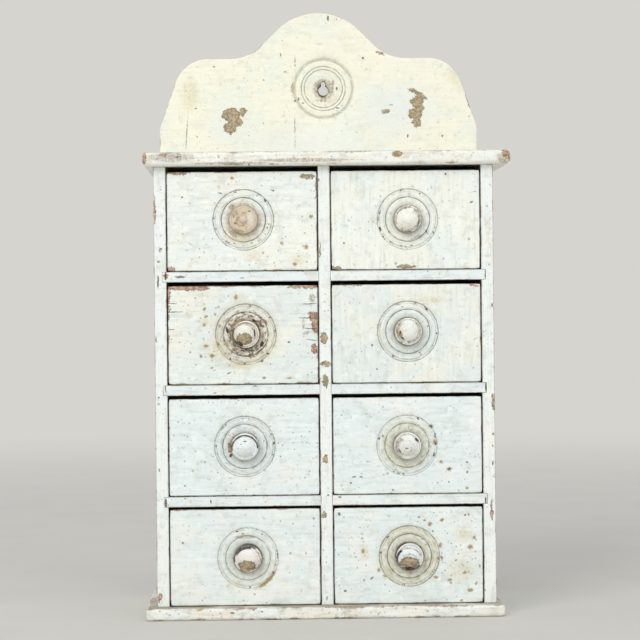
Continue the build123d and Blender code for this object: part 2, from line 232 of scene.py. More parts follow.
@dataclass(frozen=True)
class PhotoCamera:
    """The camera of the photograph: place in millimetres, turns in degrees and focal length in pixels."""

    x: float = -46.4
    distance: float = 1629.8
    height: float = 228.2
    focal: float = 2181.5
    roll: float = -0.56
    yaw: float = 1.51
    pitch: float = -0.20
    sensor: float = 36.0

    @property
    def axes(self) -> tuple[Vector, Vector, Vector]:
        """Gives the camera's right, up and forward directions before its roll.

        Returns:
            Three unit vectors: right, up and forward.
        """
        yaw, pitch = math.radians(self.yaw), math.radians(self.pitch)
        forward = Vector((math.sin(yaw) * math.cos(pitch), math.cos(yaw) * math.cos(pitch), math.sin(pitch)))
        right = Vector((math.cos(yaw), -math.sin(yaw), 0))
        return right, right.cross(forward), forward

    @property
    def eye(self) -> Vector:
        """Gives the camera's place in millimetres."""
        return Vector((self.x, FRONT_Y - self.distance, self.height))

    def point_on(self, u: float, v: float, y: float) -> tuple[float, float]:
        """Finds where a pixel of the photograph lies on an upright plane.

        Args:
            u: pixels from the picture's left.
            v: pixels from its top.
            y: the plane's Y in millimetres.

        Returns:
            X and Z on that plane, in millimetres.
        """
        right, up, forward = self.axes
        cos, sin = math.cos(math.radians(self.roll)), math.sin(math.radians(self.roll))
        across, down = u - FRAME_SIZE / 2, v - FRAME_SIZE / 2
        ray = forward + right * ((cos * across + sin * down) / self.focal)
        ray -= up * ((cos * down - sin * across) / self.focal)
        point = self.eye + ray * ((y - self.eye.y) / ray.y)
        return point.x, point.z

    def place(self) -> None:
        """Makes the scene's camera."""
        right, up, forward = self.axes
        cos, sin = math.cos(math.radians(self.roll)), math.sin(math.radians(self.roll))
        across, upward = right * cos + up * sin, up * cos - right * sin
        data = bpy.data.cameras.new("photo_camera")
        data.sensor_width, data.lens = self.sensor, self.focal * self.sensor / FRAME_SIZE
        data.clip_start, data.clip_end = 0.05, 50.0
        camera = bpy.data.objects.new("photo_camera", data)
        turn = Matrix((across, upward, -forward)).transposed().to_4x4()
        camera.matrix_world = Matrix.Translation(self.eye * MM) @ turn
        bpy.context.scene.collection.objects.link(camera)
        bpy.context.scene.camera = camera


CAMERA = PhotoCamera()


# ---------------------------------------------------------------- marks of wear, dirt and painted shadow

class MarkKind(Enum):
    """What a mark shows, among wear, dirt, tints and painted shadow."""

    COOL = "cool"
    STAIN = "stain"
    GRIME = "grime"
    BARE = "bare"
    CHIP = "chip"
    RUST = "rust"
    SPECK = "speck"
    CRACK = "crack"
    BURN = "burn"
    SPATTER = "spatter"


@dataclass(frozen=True)
class Mark:
    """One mark, placed by its middle and its half sizes in pixels of the photograph; marks show wear, dirt, tints and
    painted shadow.

    A ring above 0 leaves only the rim, from that share of the size out. Toward and span keep an arc of it, in
    degrees anticlockwise from the right.
    """

    kind: MarkKind
    u: float
    v: float
    half_u: float
    half_v: float
    tilt: float = 0.0
    ring: float = 0.0
    toward: float = 0.0
    span: float = 360.0


def worn(**spots) -> tuple[Mark, ...]:
    """Lists marks that are given by kind, each as the values of a Mark after its kind."""
    return tuple(Mark(MarkKind(kind), *values) for kind, places in spots.items() for values in places)


@dataclass(frozen=True)
class MarkLook:
    """How one kind of mark is drawn: colours, soft edge, depth, strength, warp, and how broken up it is.

    The accent is a third colour, laid where the mask goes from the first to the second accent level, so either on
    the rim or on the core.
    """

    colours: tuple[str, str]
    soft: float
    depth: float
    strength: float
    warp: float
    broken: float = 0.0
    accent: str = ""
    accent_levels: tuple[float, float] = (0.9, 0.5)
    pitted: float = 0.0


MARK_LOOKS = {
    MarkKind.COOL: MarkLook(("#E5EBEA", "#ECEFEC"), 1.0, 0.0, 0.85, 6.0, 0.4),
    MarkKind.STAIN: MarkLook(("#DCCD9B", "#CDBB8D"), 0.9, 0.0, 0.52, 5.0, 0.55),
    # Dirt patches on the boards; as arcs round the knobs' rims they are painted shadow outlines with dirt
    MarkKind.GRIME: MarkLook(("#A59378", "#7B6C57"), 0.5, 0.02, 0.72, 1.6, 0.6),
    MarkKind.BARE: MarkLook(("#CBA68E", "#94735F"), 0.35, 0.06, 0.92, 3.4, 0.2, "#6B4F3F", pitted=0.45),
    MarkKind.CHIP: MarkLook(("#C6AC8E", "#8E8767"), 0.35, 0.12, 0.97, 3.6, 0.0, "#6A6049", pitted=0.6),
    MarkKind.RUST: MarkLook(("#C9AE7C", "#B29C6C"), 0.7, 0.02, 0.8, 2.0, 0.15, "#86704A", (0.5, 0.85)),
    MarkKind.SPECK: MarkLook(("#5F5D53", "#7E7A6C"), 0.45, 0.05, 0.9, 1.2),
    MarkKind.CRACK: MarkLook(("#77736A", "#98948A"), 0.5, 0.08, 0.75, 0.5, 0.9),
    # Near-black marks: dark pits and crack lines in the paint, and painted shadow crescents round the knobs and in the
    # hanging hole
    MarkKind.BURN: MarkLook(("#1F1814", "#43342A"), 0.3, 0.10, 0.95, 0.9, 0.15),
}


def mark_group() -> bpy.types.NodeTree:
    """Builds the node group that draws one mark, as an ellipse, a ring or an arc of a ring.

    Returns:
        The group: point, centre, the ellipse's two axes over their half sizes, the arc's direction, softness, ring
        share and the cosine of half the arc's span in, mask out.
    """
    inputs = {"Point": "Vector", "Centre": "Vector", "Along": "Vector", "Across": "Vector", "Toward": "Vector",
              "Soft": "Float", "Ring": "Float", "Span": "Float"}
    tree, _, given = open_group("mark_mask", "ShaderNodeTree", inputs, "Mask", "Float")
    moved = add_node(tree, "VectorMath", given["Point"], given["Centre"], operation="SUBTRACT")
    along_it = add_node(tree, "VectorMath", moved, given["Along"], out=1, operation="DOT_PRODUCT")
    across_it = add_node(tree, "VectorMath", moved, given["Across"], out=1, operation="DOT_PRODUCT")
    square = add_node(tree, "Math", along_it, along_it, operation="MULTIPLY")
    squares = add_node(tree, "Math", across_it, across_it, square, operation="MULTIPLY_ADD")
    reach = add_node(tree, "Math", squares, operation="SQRT")
    inner = add_node(tree, "Math", reach, given["Ring"], operation="SUBTRACT")
    spread = add_node(tree, "Math", 1.0, given["Ring"], operation="SUBTRACT")
    share = add_node(tree, "Math", inner, spread, operation="DIVIDE")
    outward = add_node(tree, "Math", share, operation="ABSOLUTE")
    low = add_node(tree, "Math", 1.0, given["Soft"], operation="SUBTRACT")
    mask = add_node(tree, "MapRange", outward, low, 1.0, 1.0, 0.0, **SMOOTH)
    direction = add_node(tree, "VectorMath", moved, operation="NORMALIZE")
    facing = add_node(tree, "VectorMath", direction, given["Toward"], out=1, operation="DOT_PRODUCT")
    wide = add_node(tree, "Math", given["Span"], 0.12, operation="ADD")
    arc = add_node(tree, "MapRange", facing, given["Span"], wide, **SMOOTH)
    kept = add_node(tree, "Math", mask, arc, operation="MULTIPLY")
    tree.links.new(kept, tree.nodes.new("NodeGroupOutput").inputs["Mask"])
    return tree


# ---------------------------------------------------------------- finishes

@dataclass(frozen=True)
class SoftwoodLook:
    """Bare aged softwood, such as pine or fir, planed by hand: broad dull growth lines and grey-brown age."""

    pale: str = "#B79A76"
    dark: str = "#93734F"
    age: str = "#83705A"
    stain: str = "#5E4B39"
    line_spacing: float = 1.9
    along_stretch: float = 0.03


@dataclass(frozen=True)
class PaintLook:
    """Brushed chalky paint on softwood: its tints, how it is worn, how much dirt it has taken, and the painted shade at
    its edges.
    """

    cool: str = "#E9F1EE"
    warm: str = "#F3F3E9"
    light: str = "#F8FBF6"
    streak: str = "#CBCEC4"
    smudge: str = "#A4A99F"
    edge: str = "#8A6A50"
    # The tone of dirt, and also of the painted shade at the edges and round the knobs' necks
    grime: str = "#8F8C7C"
    warm_share: float = 0.35
    streak_share: float = 0.4
    smudge_share: float = 0.45
    speck_share: float = 0.35
    edge_width: float = 0.5
    edge_share: float = 0.5
    # A thin line of painted shade right at every edge, so the gaps beside it read dark
    edge_shade_line: float = 0.5
    dust_share: float = 0.0
    stroke_axis: str = "X"
    roughness: float = 0.62


@dataclass(frozen=True)
class SpeckSize:
    """One size of speck: its cell and radius in millimetres, how many cells have one, its tone and strength."""

    cell: float
    radius: float
    share: float
    tone: str
    strength: float


SPECKS = (SpeckSize(3.1, 0.8, 0.5, "#85887A", 0.75), SpeckSize(5.2, 1.15, 0.55, "#6B6B5B", 0.8),
          SpeckSize(9.0, 1.6, 0.5, "#9A875E", 0.65))
GRIT_TONE = "#B7A58E"
# Painted shade: the near-black that bare wood just behind a board's front is darkened towards, so the gaps between
# parts read dark
GAP_SHADE_TONE = "#2E241D"
FLAKE_TONE = "#CFB9A4"
FLAKE_SHADOW = "#54453A"
IRON_TONE = "#2B211C"
BLOOM_TONE = "#6E3F22"


class Coating:
    """A material while it is built: its tree, the point in millimetres, and the colour and height so far."""

    def __init__(self, name: str, shift: float = 0.0) -> None:
        """Starts a material on the object's own coordinates.

        Args:
            name: the material's name.
            shift: moves every pattern, so that no two pieces match.
        """
        self.material = bpy.data.materials.new(name)
        self.material.use_nodes = True
        self.tree = self.material.node_tree
        self.tree.nodes.clear()
        self.shift = shift
        own = self.add("TexCoord", out=3)
        self.point = self.add("VectorMath", {0: own, 3: 1 / MM}, operation="SCALE")
        self.x, self.y, self.z = self.add("SeparateXYZ", self.point).node.outputs
        self.colour: Optional[bpy.types.NodeSocket] = None
        self.height: Optional[bpy.types.NodeSocket] = None

    def add(self, kind: str, *sockets, out: int = 0, **settings) -> bpy.types.NodeSocket:
        """Adds a node to this material's tree, as add_node does."""
        return add_node(self.tree, kind, *sockets, out=out, **settings)

    def cloud(self, stretch: float | tuple[float, ...], detail: float = 3.0,
              shift: float = 0.0) -> bpy.types.NodeSocket:
        """Gives smooth random values.

        Args:
            stretch: how many changes there are in a millimetre, one number or one each along X, Y and Z.
            detail: how many finer layers are added.
            shift: sets this pattern apart from the material's others.

        Returns:
            Values that lie mostly between 0.25 and 0.75.
        """
        rates = stretch if isinstance(stretch, tuple) else (stretch,) * 3
        moved = self.add("VectorMath", self.point, rates, (self.shift + shift,) * 3, operation="MULTIPLY_ADD")
        return self.add("TexNoise", {"Vector": moved, "Scale": 1.0, "Detail": detail, "Roughness": NOISE_ROUGHNESS})

    def patches(self, stretch: float | tuple[float, ...], start: float, end: float, low: float = 0.0, high: float = 1.0,
                detail: float = 3.0, shift: float = 0.0) -> bpy.types.NodeSocket:
        """Gives patches: random values that rise from low to high between start and end."""
        return self.add("MapRange", self.cloud(stretch, detail, shift), start, end, low, high, **SMOOTH)

    def dent(self, mask: bpy.types.NodeSocket, depth: float) -> None:
        """Sinks the surface by a depth in millimetres where the mask is set."""
        base = 0.0 if self.height is None else self.height
        self.height = self.add("Math", mask, -depth, base, operation="MULTIPLY_ADD")

    def lay(self, mask: bpy.types.NodeSocket, tone: str | bpy.types.NodeSocket, strength: float = 1.0,
            depth: float = 0.0) -> None:
        """Lays a tone over the colour so far.

        Args:
            mask: where it lies.
            tone: a hex colour or a socket.
            strength: the most that it covers.
            depth: how far it sinks the surface, in millimetres.
        """
        share = self.add("Math", mask, strength, operation="MULTIPLY")
        self.colour = self.add("Mix", {0: share, 6: self.colour, 7: tone}, out=2, data_type="RGBA")
        if depth:
            self.dent(mask, depth)

    def finish(self, roughness: float | bpy.types.NodeSocket, specular: float = 0.3,
               metallic: float = 0.0) -> bpy.types.Material:
        """Closes the material.

        Args:
            roughness: the shader's roughness, a value or a socket.
            specular: its specular level.
            metallic: its metallic share.

        Returns:
            The finished material.
        """
        normal = None
        if self.height is not None:
            normal = self.add("Bump", {"Height": self.height, "Distance": MM, "Strength": 1.0})
        shader = self.add("BsdfPrincipled", {"Base Color": self.colour, "Roughness": roughness, "Normal": normal,
                                             "Specular IOR Level": specular, "Metallic": metallic})
        self.add("OutputMaterial", shader)
        return self.material


def along(axis: str, lengthwise: float, crosswise: float) -> tuple[float, float, float]:
    """Gives a stretch that is slow along one axis and quick across it."""
    return tuple(lengthwise if name == axis else crosswise for name in "XYZ")


def grow_softwood(coat: Coating, look: SoftwoodLook, axis: str) -> None:
    """Draws aged softwood as the colour and height so far.

    Args:
        coat: the material being built.
        look: its colours and line spacing.
        axis: the board's long axis, X, Y or Z.
    """
    rate = 1 / look.line_spacing
    lines = coat.patches(along(axis, rate * look.along_stretch, rate), 0.38, 0.62, detail=4.0)
    fibre = coat.patches(along(axis, 0.06, 2.4), 0.42, 0.75, detail=2.0, shift=7)
    ages = coat.patches(along(axis, 0.012, 0.05), 0.42, 0.75, shift=19)
    coat.colour = coat.add("Mix", {0: ages, 6: look.pale, 7: look.age}, out=2, data_type="RGBA")
    coat.lay(lines, look.dark, 0.6, 0.05)
    coat.lay(fibre, look.dark, 0.3, 0.04)
    stains = coat.patches(0.05, 0.55, 0.75, detail=4.0, shift=37)
    coat.lay(stains, look.stain, 0.5)


def softwood(name: str, axis: str, shift: float = 0.0, look: SoftwoodLook = SoftwoodLook()) -> bpy.types.Material:
    """Makes a bare board's finish: dull aged softwood, with grey and brown streaks along the grain.

    Args:
        name: the material's name.
        axis: the board's long axis, X, Y or Z.
        shift: sets its grain apart from the other boards.
        look: its colours and line spacing.

    Returns:
        The finished material.
    """
    coat = Coating(name, shift)
    grow_softwood(coat, look, axis)
    return coat.finish(0.78, 0.2)


def rusty_iron(name: str) -> bpy.types.Material:
    """Makes wrought iron under rust, as on old cut nails: dark brown and rough, with orange bloom.

    Args:
        name: the material's name.

    Returns:
        The finished material.
    """
    coat = Coating(name)
    bloom = coat.patches(0.9, 0.4, 0.65)
    coat.colour = coat.add("Mix", {0: bloom, 6: IRON_TONE, 7: BLOOM_TONE}, out=2, data_type="RGBA")
    coat.dent(bloom, 0.05)
    return coat.finish(coat.add("MapRange", bloom, 0.0, 1.0, 0.55, 0.9), 0.4, 0.2)


@dataclass
class Rosette:
    """Rings turned round a centre, in millimetres, how dirty and yellowed they are, and the painted shade round the
    knob's neck.

    Each line has its radius, half its width and how dark it is.
    """

    x: float
    z: float
    lines: tuple[tuple[float, float, float], ...]
    line_tone: str = "#84877C"
    line_share: float = 0.8
    tint: str = "#D8CFA6"
    tint_share: float = 0.0
    tint_from: float = 9.0
    tint_to: float = 22.0
    dirt_share: float = 0.35
    dirt_to: float = 23.0
    flake_share: float = 0.0
    # Round the knob's neck: a band of painted shadow with dirt, dark where the rim shades the board
    neck: float = 10.2
    neck_tone: str = "#75685A"
    neck_share: float = 0.6


@dataclass
class PaintedBoard:
    """A painted board's finish: the paint's look, where it is painted, its box, rosette and marks."""

    name: str
    look: PaintLook
    box: tuple[Vector, Vector]
    group: bpy.types.NodeTree
    wood: SoftwoodLook = SoftwoodLook()
    wood_axis: str = "X"
    painted: Sequence[tuple[str, float, float]] = ()
    rim_attribute: str = ""
    rosette: Optional[Rosette] = None
    marks: Sequence[Mark] = ()
    marks_y: float = FRONT_Y
    marks_depth: float = 4.0
    shift: float = 0.0

    def make(self) -> bpy.types.Material:
        """Builds the material, from the wood up to the dirt on the paint.

        Cycles holds the values of every layer that waits for an earlier one, and a shader that holds too many turns
        black. So the specks come last: they take the most steps to work out.

        Returns:
            The finished material.
        """
        coat = Coating(self.name, self.shift)
        self.warp = coat.cloud(0.35, 4.0, 3)
        self.fine = coat.cloud(1.3, 3.0, 11)
        grow_softwood(coat, self.wood, self.wood_axis)
        wood, wood_height = coat.colour, coat.height
        self.brush_paint(coat)
        if self.rosette:
            self.rosette_dirt_and_shade(coat)
        self.wear_edges(coat)
        self.draw_marks(coat)
        self.scatter_specks(coat)
        self.leave_bare(coat, wood, wood_height)
        roughness = coat.add("MapRange", self.fine, 0.2, 0.8, self.look.roughness - 0.1, self.look.roughness + 0.12)
        return coat.finish(roughness)

    def union_of(self, coat: Coating, kind: MarkKind, soft: float,
                 flat: bpy.types.NodeSocket) -> Optional[bpy.types.NodeSocket]:
        """Joins the masks of all marks of one kind.

        Args:
            coat: the material being built.
            kind: which marks.
            soft: how soft their edge is.
            flat: the point on the front plane, warped or not.

        Returns:
            The mask, or None where the board has no such mark.
        """
        union = None
        for mark in (mark for mark in self.marks if mark.kind is kind):
            x, z = CAMERA.point_on(mark.u, mark.v, self.marks_y)
            edge_x, edge_z = CAMERA.point_on(mark.u + mark.half_u, mark.v - mark.half_v, self.marks_y)
            tilt, toward = math.radians(mark.tilt), math.radians(mark.toward)
            along_it = Vector((math.cos(tilt), 0.0, math.sin(tilt))) / (edge_x - x)
            across_it = Vector((-math.sin(tilt), 0.0, math.cos(tilt))) / (edge_z - z)
            mask = coat.add("Group", {
                "Point": flat, "Centre": (x, 0.0, z), "Along": along_it, "Across": across_it, "Soft": soft,
                "Toward": (math.cos(toward), 0.0, math.sin(toward)), "Ring": mark.ring,
                "Span": math.cos(math.radians(mark.span / 2)) if mark.span < 360 else -2.0}, node_tree=self.group)
            union = mask if union is None else coat.add("Math", union, mask, operation="MAXIMUM")
        return union

    def brush_paint(self, coat: Coating) -> None:
        """Lays the paint: cool, warm and pale tints in clouds, brush strokes along the board and dull smudges.

        Args:
            coat: the material being built.
        """
        look = self.look
        middle = 0.5 + (0.5 - look.warm_share) * 0.4
        tints = coat.patches((0.03, 0.03, 0.035), middle - 0.09, middle + 0.09, detail=5.0)
        coat.colour = coat.add("Mix", {0: tints, 6: look.cool, 7: look.warm}, out=2, data_type="RGBA")
        strokes = coat.cloud(along(look.stroke_axis, 0.05, 0.42), 4.0, 5)
        coat.lay(coat.add("MapRange", strokes, 0.5, 0.75, **SMOOTH), look.streak, look.streak_share)
        coat.lay(coat.add("MapRange", strokes, 0.47, 0.3, **SMOOTH), look.light, 0.7)
        coat.height = coat.add("MapRange", strokes, 0.25, 0.75, 0.0, 0.04)
        for rate, start, end, detail, shift, tone, share in (
                (0.13, 0.5, 0.72, 6.0, 29, look.streak, look.streak_share),
                (0.19, 0.45, 0.28, 5.0, 73, look.light, 0.85),
                (0.34, 0.59, 0.74, 4.0, 67, look.smudge, look.smudge_share),
                (0.85, 0.6, 0.78, 2.0, 41, look.smudge, look.smudge_share * 0.6)):
            coat.lay(coat.patches(rate, start, end, detail=detail, shift=shift), tone, share)
        coat.dent(coat.patches(0.6, 0.35, 0.75, detail=3.0, shift=79), 0.05)
        if look.dust_share:
            upward = coat.add("SeparateXYZ", coat.add("NewGeometry", out=1), out=2)
            lying = coat.add("MapRange", upward, 0.6, 0.9, **SMOOTH)
            settled = coat.patches(0.04, 0.35, 0.6, 0.4, 1.0, detail=5.0, shift=89)
            coat.lay(coat.add("Math", lying, settled, operation="MULTIPLY"), look.grime, look.dust_share)

    def scatter_specks(self, coat: Coating) -> None:
        """Scatters small dark specks in loose clusters and where the photograph has them, in three sizes.

        Args:
            coat: the material being built.
        """
        cluster = coat.patches((0.035, 0.035, 0.045), 0.42, 0.7, 0.08, 0.6, detail=2.0, shift=13)
        flat = coat.add("VectorMath", coat.point, (1.0, 0.0, 1.0), operation="MULTIPLY")
        spatter = self.union_of(coat, MarkKind.SPATTER, 0.8, flat)
        if spatter is not None:
            cluster = coat.add("Math", cluster, spatter, operation="MAXIMUM")
        jitter = coat.add("TexNoise", {"Vector": coat.point, "Scale": 1.1, "Detail": 2.0}, out=1)
        bent = coat.add("VectorMath", jitter, (1.2, 1.2, 1.2), coat.point, operation="MULTIPLY_ADD")
        for size in SPECKS:
            cells = coat.add("TexVoronoi", {"Vector": bent, "Scale": 1 / size.cell}).node.outputs
            draw = coat.add("SeparateColor", cells["Color"]).node.outputs
            limit = coat.add("Math", cluster, size.share * self.look.speck_share * 2, operation="MULTIPLY")
            chosen = coat.add("Math", draw[0], limit, operation="LESS_THAN")
            largest = size.radius / size.cell
            radius = coat.add("Math", draw[1], largest * 0.65, largest * 0.35, operation="MULTIPLY_ADD")
            core = coat.add("Math", radius, 0.4, operation="MULTIPLY")
            dot = coat.add("MapRange", cells["Distance"], radius, core, **SMOOTH)
            coat.lay(coat.add("Math", chosen, dot, operation="MULTIPLY"), size.tone, size.strength, 0.06)

    def rim_distance(self, coat: Coating) -> bpy.types.NodeSocket:
        """Measures how far a point of the surface is from the board's nearest edge, in millimetres.

        Args:
            coat: the material being built.

        Returns:
            The distance.
        """
        if self.rim_attribute:
            return coat.add("Attribute", out=2, attribute_name=self.rim_attribute)
        low, high = (corner / MM for corner in self.box)
        gaps = []
        for i, place_on_axis in enumerate((coat.x, coat.y, coat.z)):
            up = coat.add("Math", place_on_axis, low[i], operation="SUBTRACT")
            down = coat.add("Math", high[i], place_on_axis, operation="SUBTRACT")
            gaps.append(coat.add("Math", up, down, operation="MINIMUM"))
        lesser = coat.add("Math", gaps[0], gaps[1], operation="MINIMUM")
        greater = coat.add("Math", gaps[0], gaps[1], operation="MAXIMUM")
        middle = coat.add("Math", greater, gaps[2], operation="MINIMUM")
        return coat.add("Math", lesser, middle, operation="MAXIMUM")

    def wear_edges(self, coat: Coating) -> None:
        """Rubs the paint through along the edges, with dirt just inside them and a thin line of painted shade right at
        them.

        Args:
            coat: the material being built.
        """
        look = self.look
        reach = coat.patches(0.07, 0.62 - 0.25 * look.edge_share, 0.78, 0.22 * look.edge_width,
                             2.6 * look.edge_width, shift=23)
        distance = self.rim_distance(coat)
        rim = coat.add("Math", distance, 0.6, operation="SUBTRACT")
        bent = coat.add("Math", self.warp, 1.2, rim, operation="MULTIPLY_ADD")
        near = coat.add("Math", bent, reach, operation="DIVIDE")
        coat.lay(coat.add("MapRange", near, 2.0, 0.8, **SMOOTH), look.grime, 0.22)
        # Painted shade: a thin dark line right at the edge, for the gap beside it
        coat.lay(coat.add("MapRange", distance, 0.8, 0.25, **SMOOTH), look.grime, look.edge_shade_line)
        tones = coat.add("MapRange", self.fine, 0.4, 0.6, **SMOOTH)
        tone = coat.add("Mix", {0: tones, 6: look.edge, 7: GRIT_TONE}, out=2, data_type="RGBA")
        coat.lay(coat.add("MapRange", near, 1.0, 0.7, **SMOOTH), tone, 0.85, 0.1)

    def rosette_dirt_and_shade(self, coat: Coating) -> None:
        """Draws the dirt that lies in the turned rings, the painted shade with dirt round the knob's neck, and the
        yellowing over them.

        Args:
            coat: the material being built.
        """
        ring = self.rosette
        spot = coat.add("VectorMath", coat.point, (ring.x, 0.0, ring.z), operation="SUBTRACT")
        flat = coat.add("VectorMath", spot, (1.0, 0.0, 1.0), operation="MULTIPLY")
        reach = coat.add("VectorMath", flat, out=1, operation="LENGTH")
        wobble = coat.add("Math", self.warp, 0.9, -0.45, operation="MULTIPLY_ADD")
        bent = coat.add("Math", reach, wobble, operation="ADD")
        broken = coat.cloud(0.12, 3.0, 31)
        direction = coat.add("VectorMath", flat, operation="NORMALIZE")
        rise = coat.add("CombineXYZ", 0.0, coat.add("Math", reach, 0.55, operation="MULTIPLY"), 0.0)
        polar = coat.add("VectorMath", direction, (4.5, 4.5, 4.5), rise, operation="MULTIPLY_ADD")
        moved = coat.add("VectorMath", polar, (self.shift,) * 3, operation="ADD")
        grit = coat.add("TexNoise", {"Vector": moved, "Scale": 1.0, "Detail": 5.0, "Roughness": 0.65})
        if ring.tint_share:
            inner = coat.add("MapRange", bent, ring.tint_from - 2, ring.tint_from + 1, **SMOOTH)
            outer = coat.add("MapRange", bent, ring.tint_to + 4, ring.tint_to - 3, **SMOOTH)
            band = coat.add("Math", inner, outer, operation="MULTIPLY")
            patchy = coat.add("MapRange", grit, 0.35, 0.6, 0.25, 1.0, **SMOOTH)
            coat.lay(coat.add("Math", band, patchy, operation="MULTIPLY"), ring.tint, ring.tint_share)
        zone = coat.add("MapRange", bent, ring.dirt_to + 2, ring.dirt_to - 2, **SMOOTH)
        dirt = coat.add("MapRange", grit, 0.5, 0.75, **SMOOTH)
        coat.lay(coat.add("Math", dirt, zone, operation="MULTIPLY"), self.look.grime, ring.dirt_share, 0.05)
        if ring.flake_share:
            reached = coat.add("MapRange", bent, 26.0, 12.0, -0.16, ring.flake_share * 0.1, **SMOOTH)
            uneven = coat.add("Math", broken, 0.35, reached, operation="MULTIPLY_ADD")
            level = coat.add("Math", grit, uneven, operation="ADD")
            coat.lay(coat.add("MapRange", level, 0.74, 0.77, **SMOOTH), FLAKE_TONE, 0.85, 0.12)
            coat.lay(coat.add("MapRange", level, 0.81, 0.84, **SMOOTH), FLAKE_SHADOW, 0.85, 0.12)
        for radius, half, share in ring.lines:
            off = coat.add("Math", bent, radius, operation="SUBTRACT")
            away = coat.add("Math", off, operation="ABSOLUTE")
            line = coat.add("MapRange", away, half, half * 0.15, **SMOOTH)
            full = share * ring.line_share
            shown = coat.add("MapRange", grit, 0.3, 0.55, full * 0.35, full, **SMOOTH)
            coat.lay(coat.add("Math", line, shown, operation="MULTIPLY"), ring.line_tone)
        # Round the neck: a broad faint painted contact shade, then a close dark band of painted shadow with dirt just
        # outside the knob's rim
        patchy = coat.add("MapRange", broken, 0.35, 0.6, 0.55, 1.0, **SMOOTH)
        close = coat.add("MapRange", bent, ring.neck + 1.5, ring.neck + 0.1, **SMOOTH)
        coat.lay(coat.add("MapRange", bent, ring.neck + 4.5, ring.neck, **SMOOTH), self.look.grime,
                 ring.neck_share * 0.45)
        coat.lay(coat.add("Math", close, patchy, operation="MULTIPLY"), ring.neck_tone, ring.neck_share)

    def draw_marks(self, coat: Coating) -> None:
        """Lays the placed marks over the paint, kind by kind, each with its rim or core and its pits.

        Args:
            coat: the material being built.
        """
        if not self.marks:
            return
        coarse = coat.add("TexNoise", {"Vector": coat.point, "Scale": 0.36, "Detail": 6.0, "Roughness": 0.72}, out=1)
        centred = coat.add("VectorMath", coarse, (0.5, 0.5, 0.5), operation="SUBTRACT")
        tones = coat.patches((0.45, 0.45, 0.55), 0.4, 0.62, detail=5.0, shift=53)
        gaps = coat.patches(0.55, 0.4, 0.6, detail=4.0, shift=59)
        pits = coat.patches(0.8, 0.56, 0.64, detail=3.0, shift=61)
        back = self.marks_y + self.marks_depth
        ragged = coat.add("Math", self.warp, -6.0, coat.y, operation="MULTIPLY_ADD")
        close = coat.add("MapRange", ragged, back - 2.4, back - 3.6, **SMOOTH)
        for kind, look in MARK_LOOKS.items():
            bent = coat.add("VectorMath", centred, (look.warp * 2,) * 3, coat.point, operation="MULTIPLY_ADD")
            flat = coat.add("VectorMath", bent, (1.0, 0.0, 1.0), operation="MULTIPLY")
            union = self.union_of(coat, kind, look.soft, flat)
            if union is None:
                continue
            union = coat.add("Math", union, close, operation="MULTIPLY")
            if look.broken:
                kept = coat.add("MapRange", gaps, 0.0, 1.0, 1 - look.broken, 1.0)
                union = coat.add("Math", union, kept, operation="MULTIPLY")
            cover = coat.add("MapRange", union, 0.0, 0.3) if look.accent_levels[0] > 0.8 and look.accent else union
            tone = coat.add("Mix", {0: tones, 6: look.colours[0], 7: look.colours[1]}, out=2, data_type="RGBA")
            coat.lay(cover, tone, look.strength, look.depth)
            if look.accent:
                level = coat.add("MapRange", union, *look.accent_levels, **SMOOTH)
                coat.lay(coat.add("Math", level, cover, operation="MULTIPLY"), look.accent, 0.6)
            if look.pitted:
                coat.lay(coat.add("Math", pits, cover, operation="MULTIPLY"), look.accent, look.pitted, 0.08)

    def leave_bare(self, coat: Coating, wood: bpy.types.NodeSocket, wood_height: bpy.types.NodeSocket) -> None:
        """Leaves the wood bare behind each named plane, with a ragged edge of paint, and darkens that wood near the
        front as painted shade in the gaps.

        Args:
            coat: the material being built.
            wood: the bare wood's colour.
            wood_height: the bare wood's height.
        """
        cover = None
        for axis, edge, direction in self.painted:
            beyond = coat.add("Math", getattr(coat, axis), edge, operation="SUBTRACT")
            outside = coat.add("Math", beyond, direction, -1.2, operation="MULTIPLY_ADD")
            ragged = coat.add("Math", self.warp, 2.4, outside, operation="MULTIPLY_ADD")
            side = coat.add("MapRange", ragged, -0.1, 0.1, **SMOOTH)
            cover = side if cover is None else coat.add("Math", cover, side, operation="MAXIMUM")
        if cover is not None:
            # Painted shade: bare wood is darkened towards the front, so the gaps between parts read dark
            painted_gap_shade = coat.add("MapRange", coat.y, FRONT_Y + 12.0, FRONT_Y + 2.0, 0.0, 0.85)
            dark = coat.add("Mix", {0: painted_gap_shade, 6: wood, 7: GAP_SHADE_TONE}, out=2, data_type="RGBA")
            coat.colour = coat.add("Mix", {0: cover, 6: dark, 7: coat.colour}, out=2, data_type="RGBA")
            coat.height = coat.add("Mix", {0: cover, 2: wood_height, 3: coat.height})


# ---------------------------------------------------------------- shapes that boards share

def graded(low: float, high: float, margin: float, spacing: float) -> np.ndarray:
    """Gives places from low to high, close together within a margin of each end and spaced out between.

    Args:
        low: the first place.
        high: the last place.
        margin: how far the close places reach in from each end.
        spacing: the distance between the places in the middle.

    Returns:
        The places in order.
    """
    near = margin * np.array([0, 0.12, 0.28, 0.45, 0.62, 0.8, 1.0])
    middle = np.linspace(low + margin, high - margin, max(2, round((high - low - 2 * margin) / spacing)) + 1)
    return np.concatenate([low + near, middle[1:-1], high - near[::-1]])


